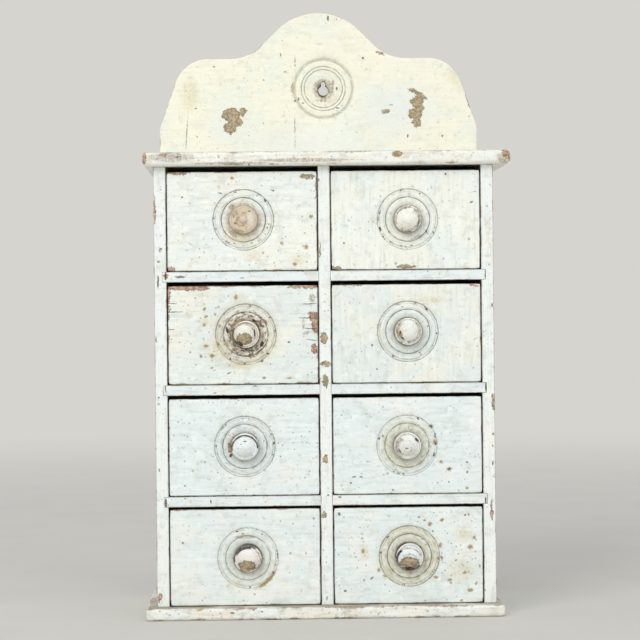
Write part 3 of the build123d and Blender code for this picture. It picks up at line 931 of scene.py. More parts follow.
def box_skin(xs: np.ndarray, ys: np.ndarray, zs: np.ndarray) -> tuple[np.ndarray, list[tuple[int, ...]]]:
    """Covers the six sides of a box with grids.

    Args:
        xs: grid places along X.
        ys: grid places along Y.
        zs: grid places along Z.

    Returns:
        The points and the four-sided faces, with doubles where sides meet.
    """
    points, faces, spans = [], [], (xs, ys, zs)
    for axis in range(3):
        first, second = [spans[i] for i in range(3) if i != axis]
        for level in (spans[axis][0], spans[axis][-1]):
            start = len(points)
            for a in first:
                for b in second:
                    point = [a, b]
                    point.insert(axis, level)
                    points.append(point)
            row = len(second)
            faces += [(start + i * row + j, start + (i + 1) * row + j, start + (i + 1) * row + j + 1,
                       start + i * row + j + 1) for i in range(len(first) - 1) for j in range(row - 1)]
    return np.array(points), faces


def filleted(corners: Sequence[tuple[float, float, float]], step: float) -> np.ndarray:
    """Walks round a closed line of rounded corners.

    Args:
        corners: X, Z and rounding of each corner, in order.
        step: spacing of the points in millimetres.

    Returns:
        Points on the line.
    """
    places, line = [np.array(corner[:2]) for corner in corners], []
    for i, (x, z, radius) in enumerate(corners):
        here, before, after = places[i], places[i - 1], places[(i + 1) % len(places)]
        inward, outward = (here - before) / np.linalg.norm(here - before), (after - here) / np.linalg.norm(after - here)
        turn = math.atan2(inward[0] * outward[1] - inward[1] * outward[0], inward @ outward)
        cut = radius * abs(math.tan(turn / 2))
        start, side = here - inward * cut, np.array([-inward[1], inward[0]]) * math.copysign(1, turn)
        centre = start + side * radius
        arc = [start]
        for t in np.linspace(0, 1, max(2, round(radius * abs(turn) / (step * 0.6)) + 1))[1:]:
            angle = turn * t
            spoke = start - centre
            arc.append(centre + np.array([spoke[0] * math.cos(angle) - spoke[1] * math.sin(angle),
                                          spoke[0] * math.sin(angle) + spoke[1] * math.cos(angle)]))
        line.append(arc if radius > 0 else [here])
    points = []
    for arc, following in zip(line, line[1:] + line[:1]):
        points += arc
        run = following[0] - arc[-1]
        count = max(1, round(np.linalg.norm(run) / step))
        points += [arc[-1] + run * k / count for k in range(1, count)]
    return np.array(points)


@dataclass(frozen=True)
class Groove:
    """One turned groove: radius, width and depth in millimetres, and the share of its width that is floor."""

    radius: float
    width: float
    depth: float
    floor: float = 0.6

    def profile(self) -> list[tuple[float, float]]:
        """Gives the groove's section as pairs of radius and depth, from the inside out.

        Returns:
            Six pairs of radius and depth.
        """
        half, flat = self.width / 2, self.width * self.floor / 2
        return [(self.radius + side * reach, depth * self.depth)
                for side, reach, depth in ((-1, half + 0.12, 0), (-1, half - 0.08, 0.12), (-1, flat, 1), (1, flat, 1),
                                           (1, half - 0.08, 0.12), (1, half + 0.12, 0))]


@dataclass
class SpokedPlate:
    """A plate laid out on spokes from its rosette's centre, so that its rings never cross."""

    centre: tuple[float, float]
    spokes: np.ndarray
    reach: np.ndarray

    def __post_init__(self) -> None:
        """Finds how far along each spoke a step of one millimetre in from the rim goes."""
        outline = self.spokes * self.reach[:, None] + self.centre
        ahead = np.roll(outline, -1, 0) - np.roll(outline, 1, 0)
        ahead /= np.linalg.norm(ahead, axis=1)[:, None]
        facing = np.abs(self.spokes[:, 0] * ahead[:, 1] - self.spokes[:, 1] * ahead[:, 0])
        self.slant = 1 / np.maximum(facing, 0.45)

    def ring(self, radius: float | np.ndarray, y: float | np.ndarray) -> np.ndarray:
        """Makes a ring of points.

        Args:
            radius: one radius, or one for each spoke.
            y: one depth, or one for each spoke.

        Returns:
            One row of X, Y and Z for each spoke.
        """
        flat = np.array(self.centre) + self.spokes * np.reshape(radius, (-1, 1))
        return np.stack([flat[:, 0], np.broadcast_to(y, len(self.spokes)), flat[:, 1]], 1)

    def inset(self, depth: float | np.ndarray, y: float | np.ndarray) -> np.ndarray:
        """Makes a ring that lies in from the rim by a depth in millimetres."""
        return self.ring(self.reach - depth * self.slant, y)

    def face(self, start: float, y: float, insets: Sequence[float]) -> list[np.ndarray]:
        """Fills the flat from a radius out to the last inset, first in even shares and then by insets.

        Args:
            start: the first radius.
            y: the flat's place along Y.
            insets: how far in from the rim the last rings lie, from the innermost out.

        Returns:
            The rings, from the inside out.
        """
        end = self.reach - insets[0] * self.slant
        rings = [self.ring(start + (end - start) * share, y) for share in (0.14, 0.3, 0.46, 0.62, 0.78, 0.9)]
        return rings + [self.inset(depth, y) for depth in insets]

    def edge(self, front_y: float, side: float, rounding: np.ndarray, wear: np.ndarray) -> list[np.ndarray]:
        """Rolls a worn edge from a face to the plate's side.

        Args:
            front_y: the face.
            side: the way from that face into the plate, 1 or -1 along Y.
            rounding: the edge's radius at each spoke.
            wear: how far each spoke is worn in.

        Returns:
            Rings from the face to the side.
        """
        return [self.inset(rounding * (1 - math.sin(a)) + wear, front_y + side * rounding * (1 - math.cos(a)))
                for a in np.radians((0, 18, 36, 54, 72, 90))]


# ---------------------------------------------------------------- carcass

@dataclass
class WornBoard:
    """A painted board with round worn edges at the front and ends: the top board or the base board."""

    node: str
    slot: str
    low: tuple[float, float, float]
    high: tuple[float, float, float]
    rounding: float
    right_rounding: float
    seed: float
    finish: bpy.types.Material
    dent_depth: float = 0.9

    def build(self) -> None:
        """Builds the board around the CAD node's box and puts it in place."""
        widest = max(self.rounding, self.right_rounding)
        points, faces = box_skin(graded(self.low[0], self.high[0], widest, 2.2),
                                 graded(self.low[1], self.high[1], widest, 4.0),
                                 graded(self.low[2], self.high[2], self.rounding, 2.0))
        points = np.array([self.wear(Vector(point)) for point in points.tolist()])
        mesh = bpy.data.meshes.new(self.node + "_worn")
        mesh.from_pydata((points * MM).tolist(), [], faces)
        piece = finish_mesh(self.node + "_worn", mesh, self.finish, 50.0)
        place(piece, "cabinet", self.slot, self.node)

    def wear(self, point: Vector) -> list[float]:
        """Rounds and dents the surface at one point.

        Args:
            point: a point of the squared box, in millimetres.

        Returns:
            The same point on the worn board.
        """
        toward_right = min(max((point.x - self.low[0]) / (self.high[0] - self.low[0]) * 6 - 5, 0), 1)
        along_edge = 0.82 + 0.36 * noise.noise((point.x / 23, point.y / 23, self.seed))
        radius = (self.rounding + (self.right_rounding - self.rounding) * toward_right) * min(along_edge, 1.15)
        low = [edge + radius for edge in self.low]
        high = [self.high[0] - radius, self.high[1], self.high[2] - radius]
        core = Vector(min(max(c, a), b) for c, a, b in zip(point, low, high))
        offset = point - core
        if offset.length <= radius or offset.length < 1e-6:
            return list(point)
        on_edge = min((offset.length / radius - 1) / 0.4, 1.0)
        knocks = max(noise.noise(point / 9 + Vector((self.seed, 0, 0))) - 0.12, 0)
        knocks += 0.5 * max(noise.noise(point / 3.1 + Vector((0, self.seed, 0))) - 0.2, 0)
        return list(core + offset.normalized() * (radius - min(on_edge * knocks * self.dent_depth * 1.6, radius * 0.4)))


@dataclass
class Crest:
    """The back board, whose top rises as the ringed and shaped crest with the hanging hole."""

    finish: bpy.types.Material
    front_y: float = BACK_BOARD_FRONT_Y
    rear_y: float = REAR_Y
    foot_z: float = 9.4
    edge_z: float = 376.0
    shoulder: tuple[float, float] = (107.5, 431.3)
    cove_x: float = 55.66
    dome_z: float = 486.96
    radii: tuple[float, float, float, float] = (6.0, 27.6, 36.5, 46.5)
    centre: tuple[float, float] = (4.0, 407.0)
    hole_z: float = 405.5
    hole_radius: float = 4.0
    slot_half: float = 1.7
    slot_rise: float = 7.6
    edge_rounding: float = 1.0
    grooves: tuple[Groove, ...] = (Groove(15.2, 1.0, 0.5), Groove(17.6, 1.0, 0.5), Groove(23.4, 2.9, 0.8, 0.75))

    def outline(self) -> np.ndarray:
        """Gives the board's outline, anticlockwise seen from the front, from the right foot upwards.

        Returns:
            Points on the outline as X and Z in millimetres.
        """
        edge, shoulder, cove, dome = self.radii
        (shoulder_x, shoulder_z), half = self.shoulder, HALF_WIDTH
        corners = [(half, self.foot_z, 0), (half, self.edge_z, edge), (shoulder_x, shoulder_z, shoulder),
                   (self.cove_x, shoulder_z, cove), (0, self.dome_z, dome), (-self.cove_x, shoulder_z, cove),
                   (-shoulder_x, shoulder_z, shoulder), (-half, self.edge_z, edge), (-half, self.foot_z, 0)]
        return filleted(corners, 3.0)

    def hole_reach(self, spokes: np.ndarray, widen: float) -> np.ndarray:
        """Gives how far the hanging hole reaches along each spoke from the rings' centre.

        Args:
            spokes: the spokes' directions.
            widen: how much wider the hole is made, in millimetres.

        Returns:
            One radius for each spoke.
        """
        reach = np.zeros(len(spokes))
        slot_top = self.hole_z + self.slot_rise - self.slot_half
        for share in np.linspace(0, 1, 14):
            middle_z = self.hole_z + (slot_top - self.hole_z) * share
            radius = (self.hole_radius if share == 0 else self.slot_half) + widen
            to_middle = np.array([0.0, middle_z - self.centre[1]])
            forward = spokes @ to_middle
            inside = radius ** 2 - (to_middle @ to_middle - forward ** 2)
            reach = np.maximum(reach, np.where(inside > 0, forward + np.sqrt(np.maximum(inside, 0)), 0))
        return reach

    def build(self) -> None:
        """Builds the board in rings round the rosette, stores the distance to its rim and puts it in place."""
        outline = self.outline()
        offset = outline - np.array(self.centre)
        reach = np.linalg.norm(offset, axis=1)
        plate = SpokedPlate(self.centre, offset / reach[:, None], reach)
        way = np.linspace(0, 1, len(outline), endpoint=False)
        wear = 0.45 * wavy(way, 11, 16) ** 2
        rounding = self.edge_rounding * (0.7 + 0.8 * wavy(way, 12, 9))
        rings = [plate.ring(self.hole_reach(plate.spokes, spread), self.front_y + sunk)
                 for spread, sunk in ((0.0, 0.9), (0.15, 0.45), (0.5, 0.15), (1.1, 0.0))]
        rings += [plate.ring(radius, self.front_y) for radius in (9.0, 12.0)]
        for groove in self.grooves:
            rings += [plate.ring(radius, self.front_y + sunk) for radius, sunk in groove.profile()]
        rings += plate.face(26.0, self.front_y, (9.0, 5.5, 3.2))
        rings += plate.edge(self.front_y, 1.0, rounding, wear)
        rings += reversed(plate.edge(self.rear_y, -1.0, rounding * 0.45, wear * 0.3))
        rings.append(plate.ring(self.hole_reach(plate.spokes, 0.0), self.rear_y))
        piece = ring_mesh("crest_board", rings, self.finish)
        self.store_rim(piece, outline)
        place(piece, "cabinet", "crest_paint", "back_board")

    def store_rim(self, piece: bpy.types.Object, outline: np.ndarray) -> None:
        """Stores each point's distance from the outline, in millimetres, for the paint to read.

        Args:
            piece: the finished board.
            outline: its outline in X and Z.
        """
        mesh = piece.data
        points = np.zeros(len(mesh.vertices) * 3)
        mesh.vertices.foreach_get("co", points)
        flat = points.reshape(-1, 3)[:, (0, 2)] / MM
        rim = np.array([np.linalg.norm(outline - point, axis=1).min() for point in flat])
        mesh.attributes.new("rim", "FLOAT", "POINT").data.foreach_set("value", rim)


# ---------------------------------------------------------------- drawers

KNOB_SEGMENTS = 72
FRONT_SPOKES = 288


@dataclass(frozen=True)
class KnobShape:
    """Profile of a turned knob: radii, and distances in front of the drawer, in millimetres."""

    neck_radius: float
    rim_radius: float
    rim_rounding: float
    rim_back: float
    rim_front: float
    groove_radius: float
    groove_edge: float
    groove_floor: float
    dome_radius: float
    length: float
    tenon_radius: float = 4.5
    tenon_end: float = -9.0

    def profile(self) -> list[tuple[float, float]]:
        """Gives the knob's section as pairs of radius and distance, from the tip of its face to its tenon's end.

        Returns:
            Pairs of radius and distance in millimetres.
        """
        rise = self.length - self.groove_floor
        dome = (self.dome_radius ** 2 + rise ** 2) / (2 * rise)
        widest = math.asin(min(self.dome_radius / dome, 1.0))
        section = [(dome * math.sin(widest * t), self.length - dome * (1 - math.cos(widest * t)))
                   for t in np.linspace(0, 1, 12)]
        section += [(self.dome_radius + 0.25, self.groove_floor + 0.05), (self.groove_radius, self.groove_edge)]
        middle, half = (self.rim_back + self.rim_front) / 2, (self.rim_front - self.rim_back) / 2
        section += [(self.rim_radius - self.rim_rounding * (1 - math.cos(a)), middle + half * math.sin(a))
                    for a in np.linspace(math.pi / 2, -math.pi / 2, 9)]
        back_radius = self.rim_radius - self.rim_rounding
        across, up = back_radius - self.neck_radius, self.rim_back
        sweep = (across ** 2 + up ** 2) / (2 * across)
        end = math.acos(max(1 - across / sweep, -1.0))
        section += [(self.neck_radius + sweep * (1 - math.cos(end * t)), sweep * math.sin(end * t))
                    for t in np.linspace(0.88, 0, 8)]
        return section + [(self.tenon_radius, 0.0), (self.tenon_radius, self.tenon_end), (0.0, self.tenon_end)]


DOMED_KNOB = KnobShape(6.0, 10.2, 0.8, 4.6, 6.8, 9.0, 7.0, 6.4, 8.0, 10.95)
BUTTON_KNOB = KnobShape(7.0, 10.6, 0.7, 2.6, 4.2, 4.7, 5.4, 4.7, 2.9, 8.0)


class Lathe:
    """The node tree that turns a section round a knob's axis, a little out of true, as a pole lathe leaves it."""

    def __init__(self) -> None:
        """Builds the tree with named inputs for its sizes."""
        inputs = {"Section": "Geometry", "Segments": "Int", "Centre": "Vector", "Wobble": "Float", "Seed": "Float",
                  "Finish": "Material"}
        tree, self.sockets, given = open_group("turned_knob", "GeometryNodeTree", inputs, "Knob", "Geometry")
        tree.is_modifier = True
        size = add_node(tree, "GeometryNodeAttributeDomainSize", given["Section"])
        round_count = add_node(tree, "Math", given["Segments"], 1, operation="ADD")
        grid = add_node(tree, "GeometryNodeMeshGrid", 1.0, 1.0, size, round_count)
        index = add_node(tree, "GeometryNodeInputIndex")
        row = add_node(tree, "Math", add_node(tree, "Math", index, round_count, operation="DIVIDE"), operation="FLOOR")
        step = add_node(tree, "Math", index, round_count, operation="MODULO")
        share = add_node(tree, "Math", step, given["Segments"], operation="DIVIDE")
        angle = add_node(tree, "Math", share, math.tau, operation="MULTIPLY")
        here = add_node(tree, "GeometryNodeInputPosition")
        sampled = add_node(tree, "GeometryNodeSampleIndex", {"Geometry": given["Section"], "Value": here,
                                                             "Index": row}, data_type="FLOAT_VECTOR")
        radius, out_by, _ = add_node(tree, "SeparateXYZ", sampled).node.outputs
        across = add_node(tree, "Math", radius, add_node(tree, "Math", angle, operation="COSINE"),
                          operation="MULTIPLY")
        upward = add_node(tree, "Math", radius, add_node(tree, "Math", angle, operation="SINE"), operation="MULTIPLY")
        ahead = add_node(tree, "Math", out_by, -1.0, operation="MULTIPLY")
        turned = add_node(tree, "CombineXYZ", across, ahead, upward)
        rough = add_node(tree, "TexNoise", {"Vector": turned, "W": given["Seed"], "Scale": 160.0, "Detail": 1.0},
                         out=1, noise_dimensions="4D")
        centred = add_node(tree, "VectorMath", rough, (0.5, 0.5, 0.5), operation="SUBTRACT")
        pull = add_node(tree, "VectorMath", {0: centred, 3: given["Wobble"]}, operation="SCALE")
        bare_tenon = add_node(tree, "Math", out_by, 0.0005, operation="GREATER_THAN")
        freed = add_node(tree, "VectorMath", {0: pull, 3: bare_tenon}, operation="SCALE")
        worn = add_node(tree, "VectorMath", turned, freed, operation="ADD")
        placed = add_node(tree, "VectorMath", worn, given["Centre"], operation="ADD")
        moved = add_node(tree, "GeometryNodeSetPosition", {"Geometry": grid, "Position": placed})
        merged = add_node(tree, "GeometryNodeMergeByDistance", {"Geometry": moved, "Distance": 5e-6})
        real = add_node(tree, "GeometryNodeRealizeInstances", {"Geometry": merged})
        done = add_node(tree, "GeometryNodeSetMaterial", {"Geometry": real, "Material": given["Finish"]})
        tree.links.new(done, tree.nodes.new("NodeGroupOutput").inputs["Knob"])
        self.tree = tree


class BradRow:
    """The node tree that sets small flat-headed brads on points, each turned to the wood's face."""

    def __init__(self) -> None:
        """Builds the tree with named inputs for its sizes."""
        inputs = {"Places": "Geometry", "Head Radius": "Float", "Head Height": "Float", "Seed": "Int",
                  "Finish": "Material"}
        tree, self.sockets, given = open_group("brad_row", "GeometryNodeTree", inputs, "Brads", "Geometry")
        tree.is_modifier = True
        head = add_node(tree, "GeometryNodeMeshCylinder", {"Vertices": 14, "Radius": given["Head Radius"],
                                                           "Depth": given["Head Height"]})
        facing = add_node(tree, "GeometryNodeInputNamedAttribute", {"Name": "facing"}, data_type="FLOAT_VECTOR")
        turned = add_node(tree, "FunctionNodeAlignRotationToVector", {"Vector": facing}, axis="Z")
        size = add_node(tree, "FunctionNodeRandomValue", {2: 0.8, 3: 1.15, "Seed": given["Seed"]}, out=1,
                        data_type="FLOAT")
        heads = add_node(tree, "GeometryNodeInstanceOnPoints", {"Points": given["Places"], "Instance": head,
                                                                "Rotation": turned, "Scale": size})
        real = add_node(tree, "GeometryNodeRealizeInstances", {"Geometry": heads})
        done = add_node(tree, "GeometryNodeSetMaterial", {"Geometry": real, "Material": given["Finish"]})
        tree.links.new(done, tree.nodes.new("NodeGroupOutput").inputs["Brads"])
        self.tree = tree


def grow(name: str, seed_mesh: bpy.types.Mesh, maker: Lathe | BradRow, values: dict[str, object]) -> bpy.types.Object:
    """Runs a node tree on a small mesh and keeps the result as a plain piece.

    Args:
        name: the piece's name.
        seed_mesh: the section or the places that the tree starts from, in metres.
        maker: the tree's owner, with its sockets by name.
        values: a value for each named input.

    Returns:
        The finished piece, at the origin, without a modifier.
    """
    seed = bpy.data.objects.new(name + "_seed", seed_mesh)
    bpy.context.scene.collection.objects.link(seed)
    modifier = seed.modifiers.new("grow", "NODES")
    modifier.node_group = maker.tree
    for key, value in values.items():
        modifier[maker.sockets[key]] = value
    bpy.context.view_layer.update()
    grown = bpy.data.meshes.new_from_object(seed.evaluated_get(bpy.context.evaluated_depsgraph_get()))
    bpy.data.objects.remove(seed)
    return finish_mesh(name, grown, values["Finish"], 40.0)


@dataclass
class Drawer:
    """One drawer: its front, knob and nailed box, with their finishes."""

    name: str
    rings: Rosette
    knob: KnobShape
    seed: int
    front_finish: bpy.types.Material
    knob_finish: bpy.types.Material
    box_finishes: dict[str, bpy.types.Material]
    iron: bpy.types.Material
    side_thickness: float = 6.0
    bottom_thickness: float = 4.0
    rabbet_y: float = -53.0
    inner_y: float = -47.0
    rear_y: float = 53.5
    bore: float = 4.55
    edge_rounding: float = 1.0
    knob_wobble: float = 0.3
    brad_radius: float = 0.95
    brad_height: float = 0.25
    grooves: tuple[Groove, ...] = (Groove(16.5, 1.0, 0.5), Groove(21.7, 2.0, 0.8, 0.7))

    @property
    def body(self) -> str:
        """Gives the drawer's CAD body."""
        return self.name + "_drawer"

    def build(self, lathe: Lathe, brads: BradRow) -> None:
        """Builds the drawer's pieces and dresses its box.

        Args:
            lathe: turns the knob.
            brads: sets the brads.
        """
        self.build_front()
        self.build_knob(lathe)
        self.build_brads(brads)
        for part, finish in self.box_finishes.items():
            dress_node(f"{self.body}_{part}", finish)

    def build_front(self) -> None:
        """Builds the front in rings round its rosette, from the bore to the rabbet behind."""
        low, high = (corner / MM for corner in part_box(self.body + "_front"))
        centre = (self.rings.x, self.rings.z)
        lip = (low.x, low.z, high.x, high.z)
        tongue = (low.x + self.side_thickness, low.z + self.bottom_thickness, high.x - self.side_thickness, high.z)
        spokes = self.spokes(centre, lip, tongue)
        plate = SpokedPlate(centre, spokes, self.reach(spokes, centre, lip))
        way = np.linspace(0, 1, len(spokes), endpoint=False)
        outline = plate.ring(plate.reach, FRONT_Y)
        corner_gap = np.min([np.hypot(outline[:, 0] - x, outline[:, 2] - z) for x in lip[::2] for z in lip[1::2]], 0)
        wear = 0.35 * wavy(way, self.seed, 14) ** 2 + 0.5 * np.exp(-(corner_gap / 1.8) ** 2)
        rounding = self.edge_rounding * (0.6 + 0.8 * wavy(way, self.seed + 50, 10))
        rings = [plate.ring(radius, FRONT_Y) for radius in (self.bore, 7.0, 10.5, 14.0)]
        for groove in self.grooves:
            rings += [plate.ring(radius, FRONT_Y + sunk) for radius, sunk in groove.profile()]
        rings += plate.face(24.0, FRONT_Y, (4.5, 2.6)) + plate.edge(FRONT_Y, 1.0, rounding, wear)
        rings.append(plate.ring(plate.reach, self.rabbet_y))
        rings += [plate.ring(self.reach(spokes, centre, tongue), y) for y in (self.rabbet_y, self.inner_y)]
        rings.append(plate.ring(self.bore, self.inner_y))
        piece = ring_mesh(self.body + "_face", rings, self.front_finish)
        place(piece, self.body, "drawer_paint", self.body + "_front")

    @staticmethod
    def spokes(centre: tuple[float, float], *boxes: tuple[float, ...]) -> np.ndarray:
        """Gives anticlockwise spokes from a centre, some of them through every corner of the boxes.

        Args:
            centre: X and Z of the centre.
            boxes: left, low, right and high of each box.

        Returns:
            One direction of length 1 for each spoke.
        """
        exact = sorted(math.atan2(z - centre[1], x - centre[0]) for box in boxes for x in box[::2] for z in box[1::2])
        even = np.linspace(-math.pi, math.pi, FRONT_SPOKES, endpoint=False)
        kept = [a for a in even if min(abs(a - e) for e in exact) > 0.008]
        angles = np.array(sorted(kept + exact))
        angles = angles[np.append(True, np.diff(angles) > 1e-5)]
        return np.stack([np.cos(angles), np.sin(angles)], 1)

    @staticmethod
    def reach(spokes: np.ndarray, centre: tuple[float, float], box: tuple[float, ...]) -> np.ndarray:
        """Gives how far each spoke runs from the centre to a rectangle's edge.

        Args:
            spokes: the spokes' directions.
            centre: X and Z of the centre.
            box: left, low, right and high of the rectangle.

        Returns:
            One length for each spoke.
        """
        left, low, right, high = box
        across, upward = spokes[:, 0], spokes[:, 1]
        with np.errstate(divide="ignore"):
            to_side = np.where(across > 0, (right - centre[0]) / across, (left - centre[0]) / across)
            to_end = np.where(upward > 0, (high - centre[1]) / upward, (low - centre[1]) / upward)
        return np.minimum(np.abs(to_side), np.abs(to_end))

    def build_knob(self, lathe: Lathe) -> None:
        """Turns the knob on its tenon.

        Args:
            lathe: the node tree that turns it.
        """
        section = self.knob.profile()
        mesh = bpy.data.meshes.new("section")
        mesh.from_pydata([(r * MM, d * MM, 0) for r, d in section], [(i, i + 1) for i in range(len(section) - 1)], [])
        centre = Vector((self.rings.x, FRONT_Y, self.rings.z)) * MM
        piece = grow(self.name + "_turned_knob", mesh, lathe,
                     {"Segments": KNOB_SEGMENTS, "Centre": centre, "Wobble": self.knob_wobble * MM,
                      "Seed": float(self.seed), "Finish": self.knob_finish})
        place(piece, self.body, "knob_paint", self.name + "_knob")

    def build_brads(self, brads: BradRow) -> None:
        """Sets the brads that hold the box: through the sides into the front and back, and up through the bottom.

        Args:
            brads: the node tree that sets them.
        """
        low, high = (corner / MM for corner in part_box(self.body + "_left_side"))
        right = (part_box(self.body + "_right_side")[1] / MM).x
        floor_z = low.z - self.bottom_thickness
        places, facing = [], []
        for x, direction in ((low.x, -1.0), (right, 1.0)):
            for y in (self.inner_y - 3.0, self.rear_y - 3.0):
                for share in (0.14, 0.5, 0.86):
                    places.append((x, y, low.z + (high.z - low.z) * share))
                    facing.append((direction, 0.0, 0.0))
            for share in (0.2, 0.5, 0.8):
                places.append((x - direction * 3.0, self.inner_y + (self.rear_y - self.inner_y) * share, floor_z))
                facing.append((0.0, 0.0, -1.0))
        mesh = bpy.data.meshes.new("places")
        mesh.from_pydata([[c * MM for c in spot] for spot in places], [], [])
        mesh.attributes.new("facing", "FLOAT_VECTOR", "POINT").data.foreach_set("vector", np.ravel(facing))
        piece = grow(self.body + "_brads", mesh, brads,
                     {"Head Radius": self.brad_radius * MM, "Head Height": self.brad_height * MM, "Seed": self.seed,
                      "Finish": self.iron})
        place(piece, self.body, "nail_iron")


# ---------------------------------------------------------------- studio

@dataclass(frozen=True)
class Lamp:
    """A soft square lamp: place in metres, width, power in watts and tint."""

    name: str
    at: tuple[float, float, float]
    width: float
    power: float
    tint: str = "#FFFFFF"

    def place(self, target: Vector) -> None:
        """Hangs the lamp, turned to the target.

        Args:
            target: the point that it shines at, in metres.
        """
        data = bpy.data.lights.new(self.name, "AREA")
        data.size, data.energy, data.color = self.width, self.power, linear(self.tint)[:3]
        lamp = bpy.data.objects.new(self.name, data)
        lamp.location = self.at
        lamp.rotation_euler = (target - Vector(self.at)).to_track_quat("-Z", "Y").to_euler()
        bpy.context.scene.collection.objects.link(lamp)


@dataclass(frozen=True)
class Studio:
    """A plain pale floor that fades into a plain pale background, under soft light."""

    floor_tint: str = "#CFCCC6"
    floor_mottle: str = "#D2CFC9"
    sky_tint: str = "#FAFDFF"
    background: str = "#D6D4CF"
    sky_strength: float = 0.77
    floor_radius: float = 9.0
    rim_points: int = 96
    target_z: float = 0.24
    fade_from: float = 0.7
    fade_to: float = 2.6
    lamps: tuple[Lamp, ...] = (Lamp("key_lamp", (-1.3, -2.2, 1.9), 1.4, 31.0, "#FFFEFC"),
                               Lamp("fill_lamp", (1.9, -2.0, 0.9), 1.8, 11.0, "#F6FAFF"))

    def build(self) -> None:
        """Builds the floor, the world and the lamps, and sets how colours are shown."""
        bpy.context.scene.view_settings.view_transform = "Standard"
        self.build_floor()
        self.build_world()
        for lamp in self.lamps:
            lamp.place(Vector((0, 0, self.target_z)))

    def build_floor(self) -> None:
        """Builds the floor, matt near the cabinet and the background's own colour far from it."""
        coat = Coating("studio_floor")
        mottle = coat.patches(0.01, 0.3, 0.7)
        coat.colour = coat.add("Mix", {0: mottle, 6: self.floor_tint, 7: self.floor_mottle}, out=2, data_type="RGBA")
        matt = coat.add("BsdfPrincipled", {"Base Color": coat.colour, "Roughness": 0.8, "Specular IOR Level": 0.2})
        plain = coat.add("Emission", {"Color": linear(self.background), "Strength": 1.0})
        reach = coat.add("VectorMath", coat.point, out=1, operation="LENGTH")
        far = coat.add("MapRange", reach, self.fade_from / MM, self.fade_to / MM, **SMOOTH)
        seen = coat.add("LightPath", out=0)
        share = coat.add("Math", far, seen, operation="MULTIPLY")
        mixed = coat.add("MixShader", share, matt, plain)
        coat.add("OutputMaterial", mixed)
        mesh = bpy.data.meshes.new("studio_floor")
        rim = [(self.floor_radius * math.cos(a), self.floor_radius * math.sin(a), 0.0)
               for a in np.linspace(0, math.tau, self.rim_points, endpoint=False)]
        mesh.from_pydata(rim, [], [tuple(range(self.rim_points))])
        mesh.materials.append(coat.material)
        floor = bpy.data.objects.new("studio_floor", mesh)
        bpy.context.scene.collection.objects.link(floor)

    def build_world(self) -> None:
        """Builds the world: even white light, and the plain background where the camera sees it."""
        world = bpy.data.worlds.new("studio_world")
        world.use_nodes = True
        tree = world.node_tree
        tree.nodes.clear()
        light = add_node(tree, "Background", {"Color": linear(self.sky_tint), "Strength": self.sky_strength})
        plain = add_node(tree, "Background", {"Color": linear(self.background), "Strength": 1.0})
        path = add_node(tree, "LightPath").node.outputs
        shiny = add_node(tree, "Math", path["Is Glossy Ray"], path["Is Transmission Ray"], operation="MAXIMUM")
        seen = add_node(tree, "Math", path["Is Camera Ray"], shiny, operation="MAXIMUM")
        add_node(tree, "OutputWorld", add_node(tree, "MixShader", seen, light, plain))
        bpy.context.scene.world = world


# ---------------------------------------------------------------- this cabinet

RING_LINES = ((16.6, 0.75, 1.0), (17.9, 0.4, 0.4), (20.9, 0.4, 0.3), (22.7, 0.5, 1.0))
CREST_RING_LINES = ((15.2, 0.65, 0.9), (17.6, 0.6, 0.9), (23.3, 1.6, 0.75))
# On each knob: a line of dirt in the groove round the dome, and at the rim's edge a painted shadow outline with dirt
KNOB_LINES = ((8.9, 0.5, 0.8), (10.4, 0.7, 1.0))


@dataclass(frozen=True)
class DrawerFacts:
    """What sets one drawer apart: its ring centre, paint, rosette dirt and painted neck shade, and the marks on its
    front and knob.
    """

    name: str
    centre: tuple[float, float]
    look: PaintLook
    rosette: dict[str, object]
    marks: tuple[Mark, ...]
    knob_marks: tuple[Mark, ...]
    knob_tint: str = "#F5F5EE"
    knob_shade: str = "#E4E3D8"
    knob_line_dirt_and_shade: float = 0.6
    knob: KnobShape = DOMED_KNOB


ROW_TINTS = (
    {"cool": "#EEF4EF", "warm": "#F6F6EB", "light": "#FAFCF5", "warm_share": 0.5},
    {"cool": "#E9F0EC", "warm": "#F2F2E6", "light": "#F7FAF4", "warm_share": 0.45},
    {"cool": "#EAF2F1", "warm": "#F1F4EE", "light": "#F6FBFA", "warm_share": 0.35},
    {"cool": "#E9F1EF", "warm": "#F2F4ED", "light": "#F5FBF9", "warm_share": 0.4},
)

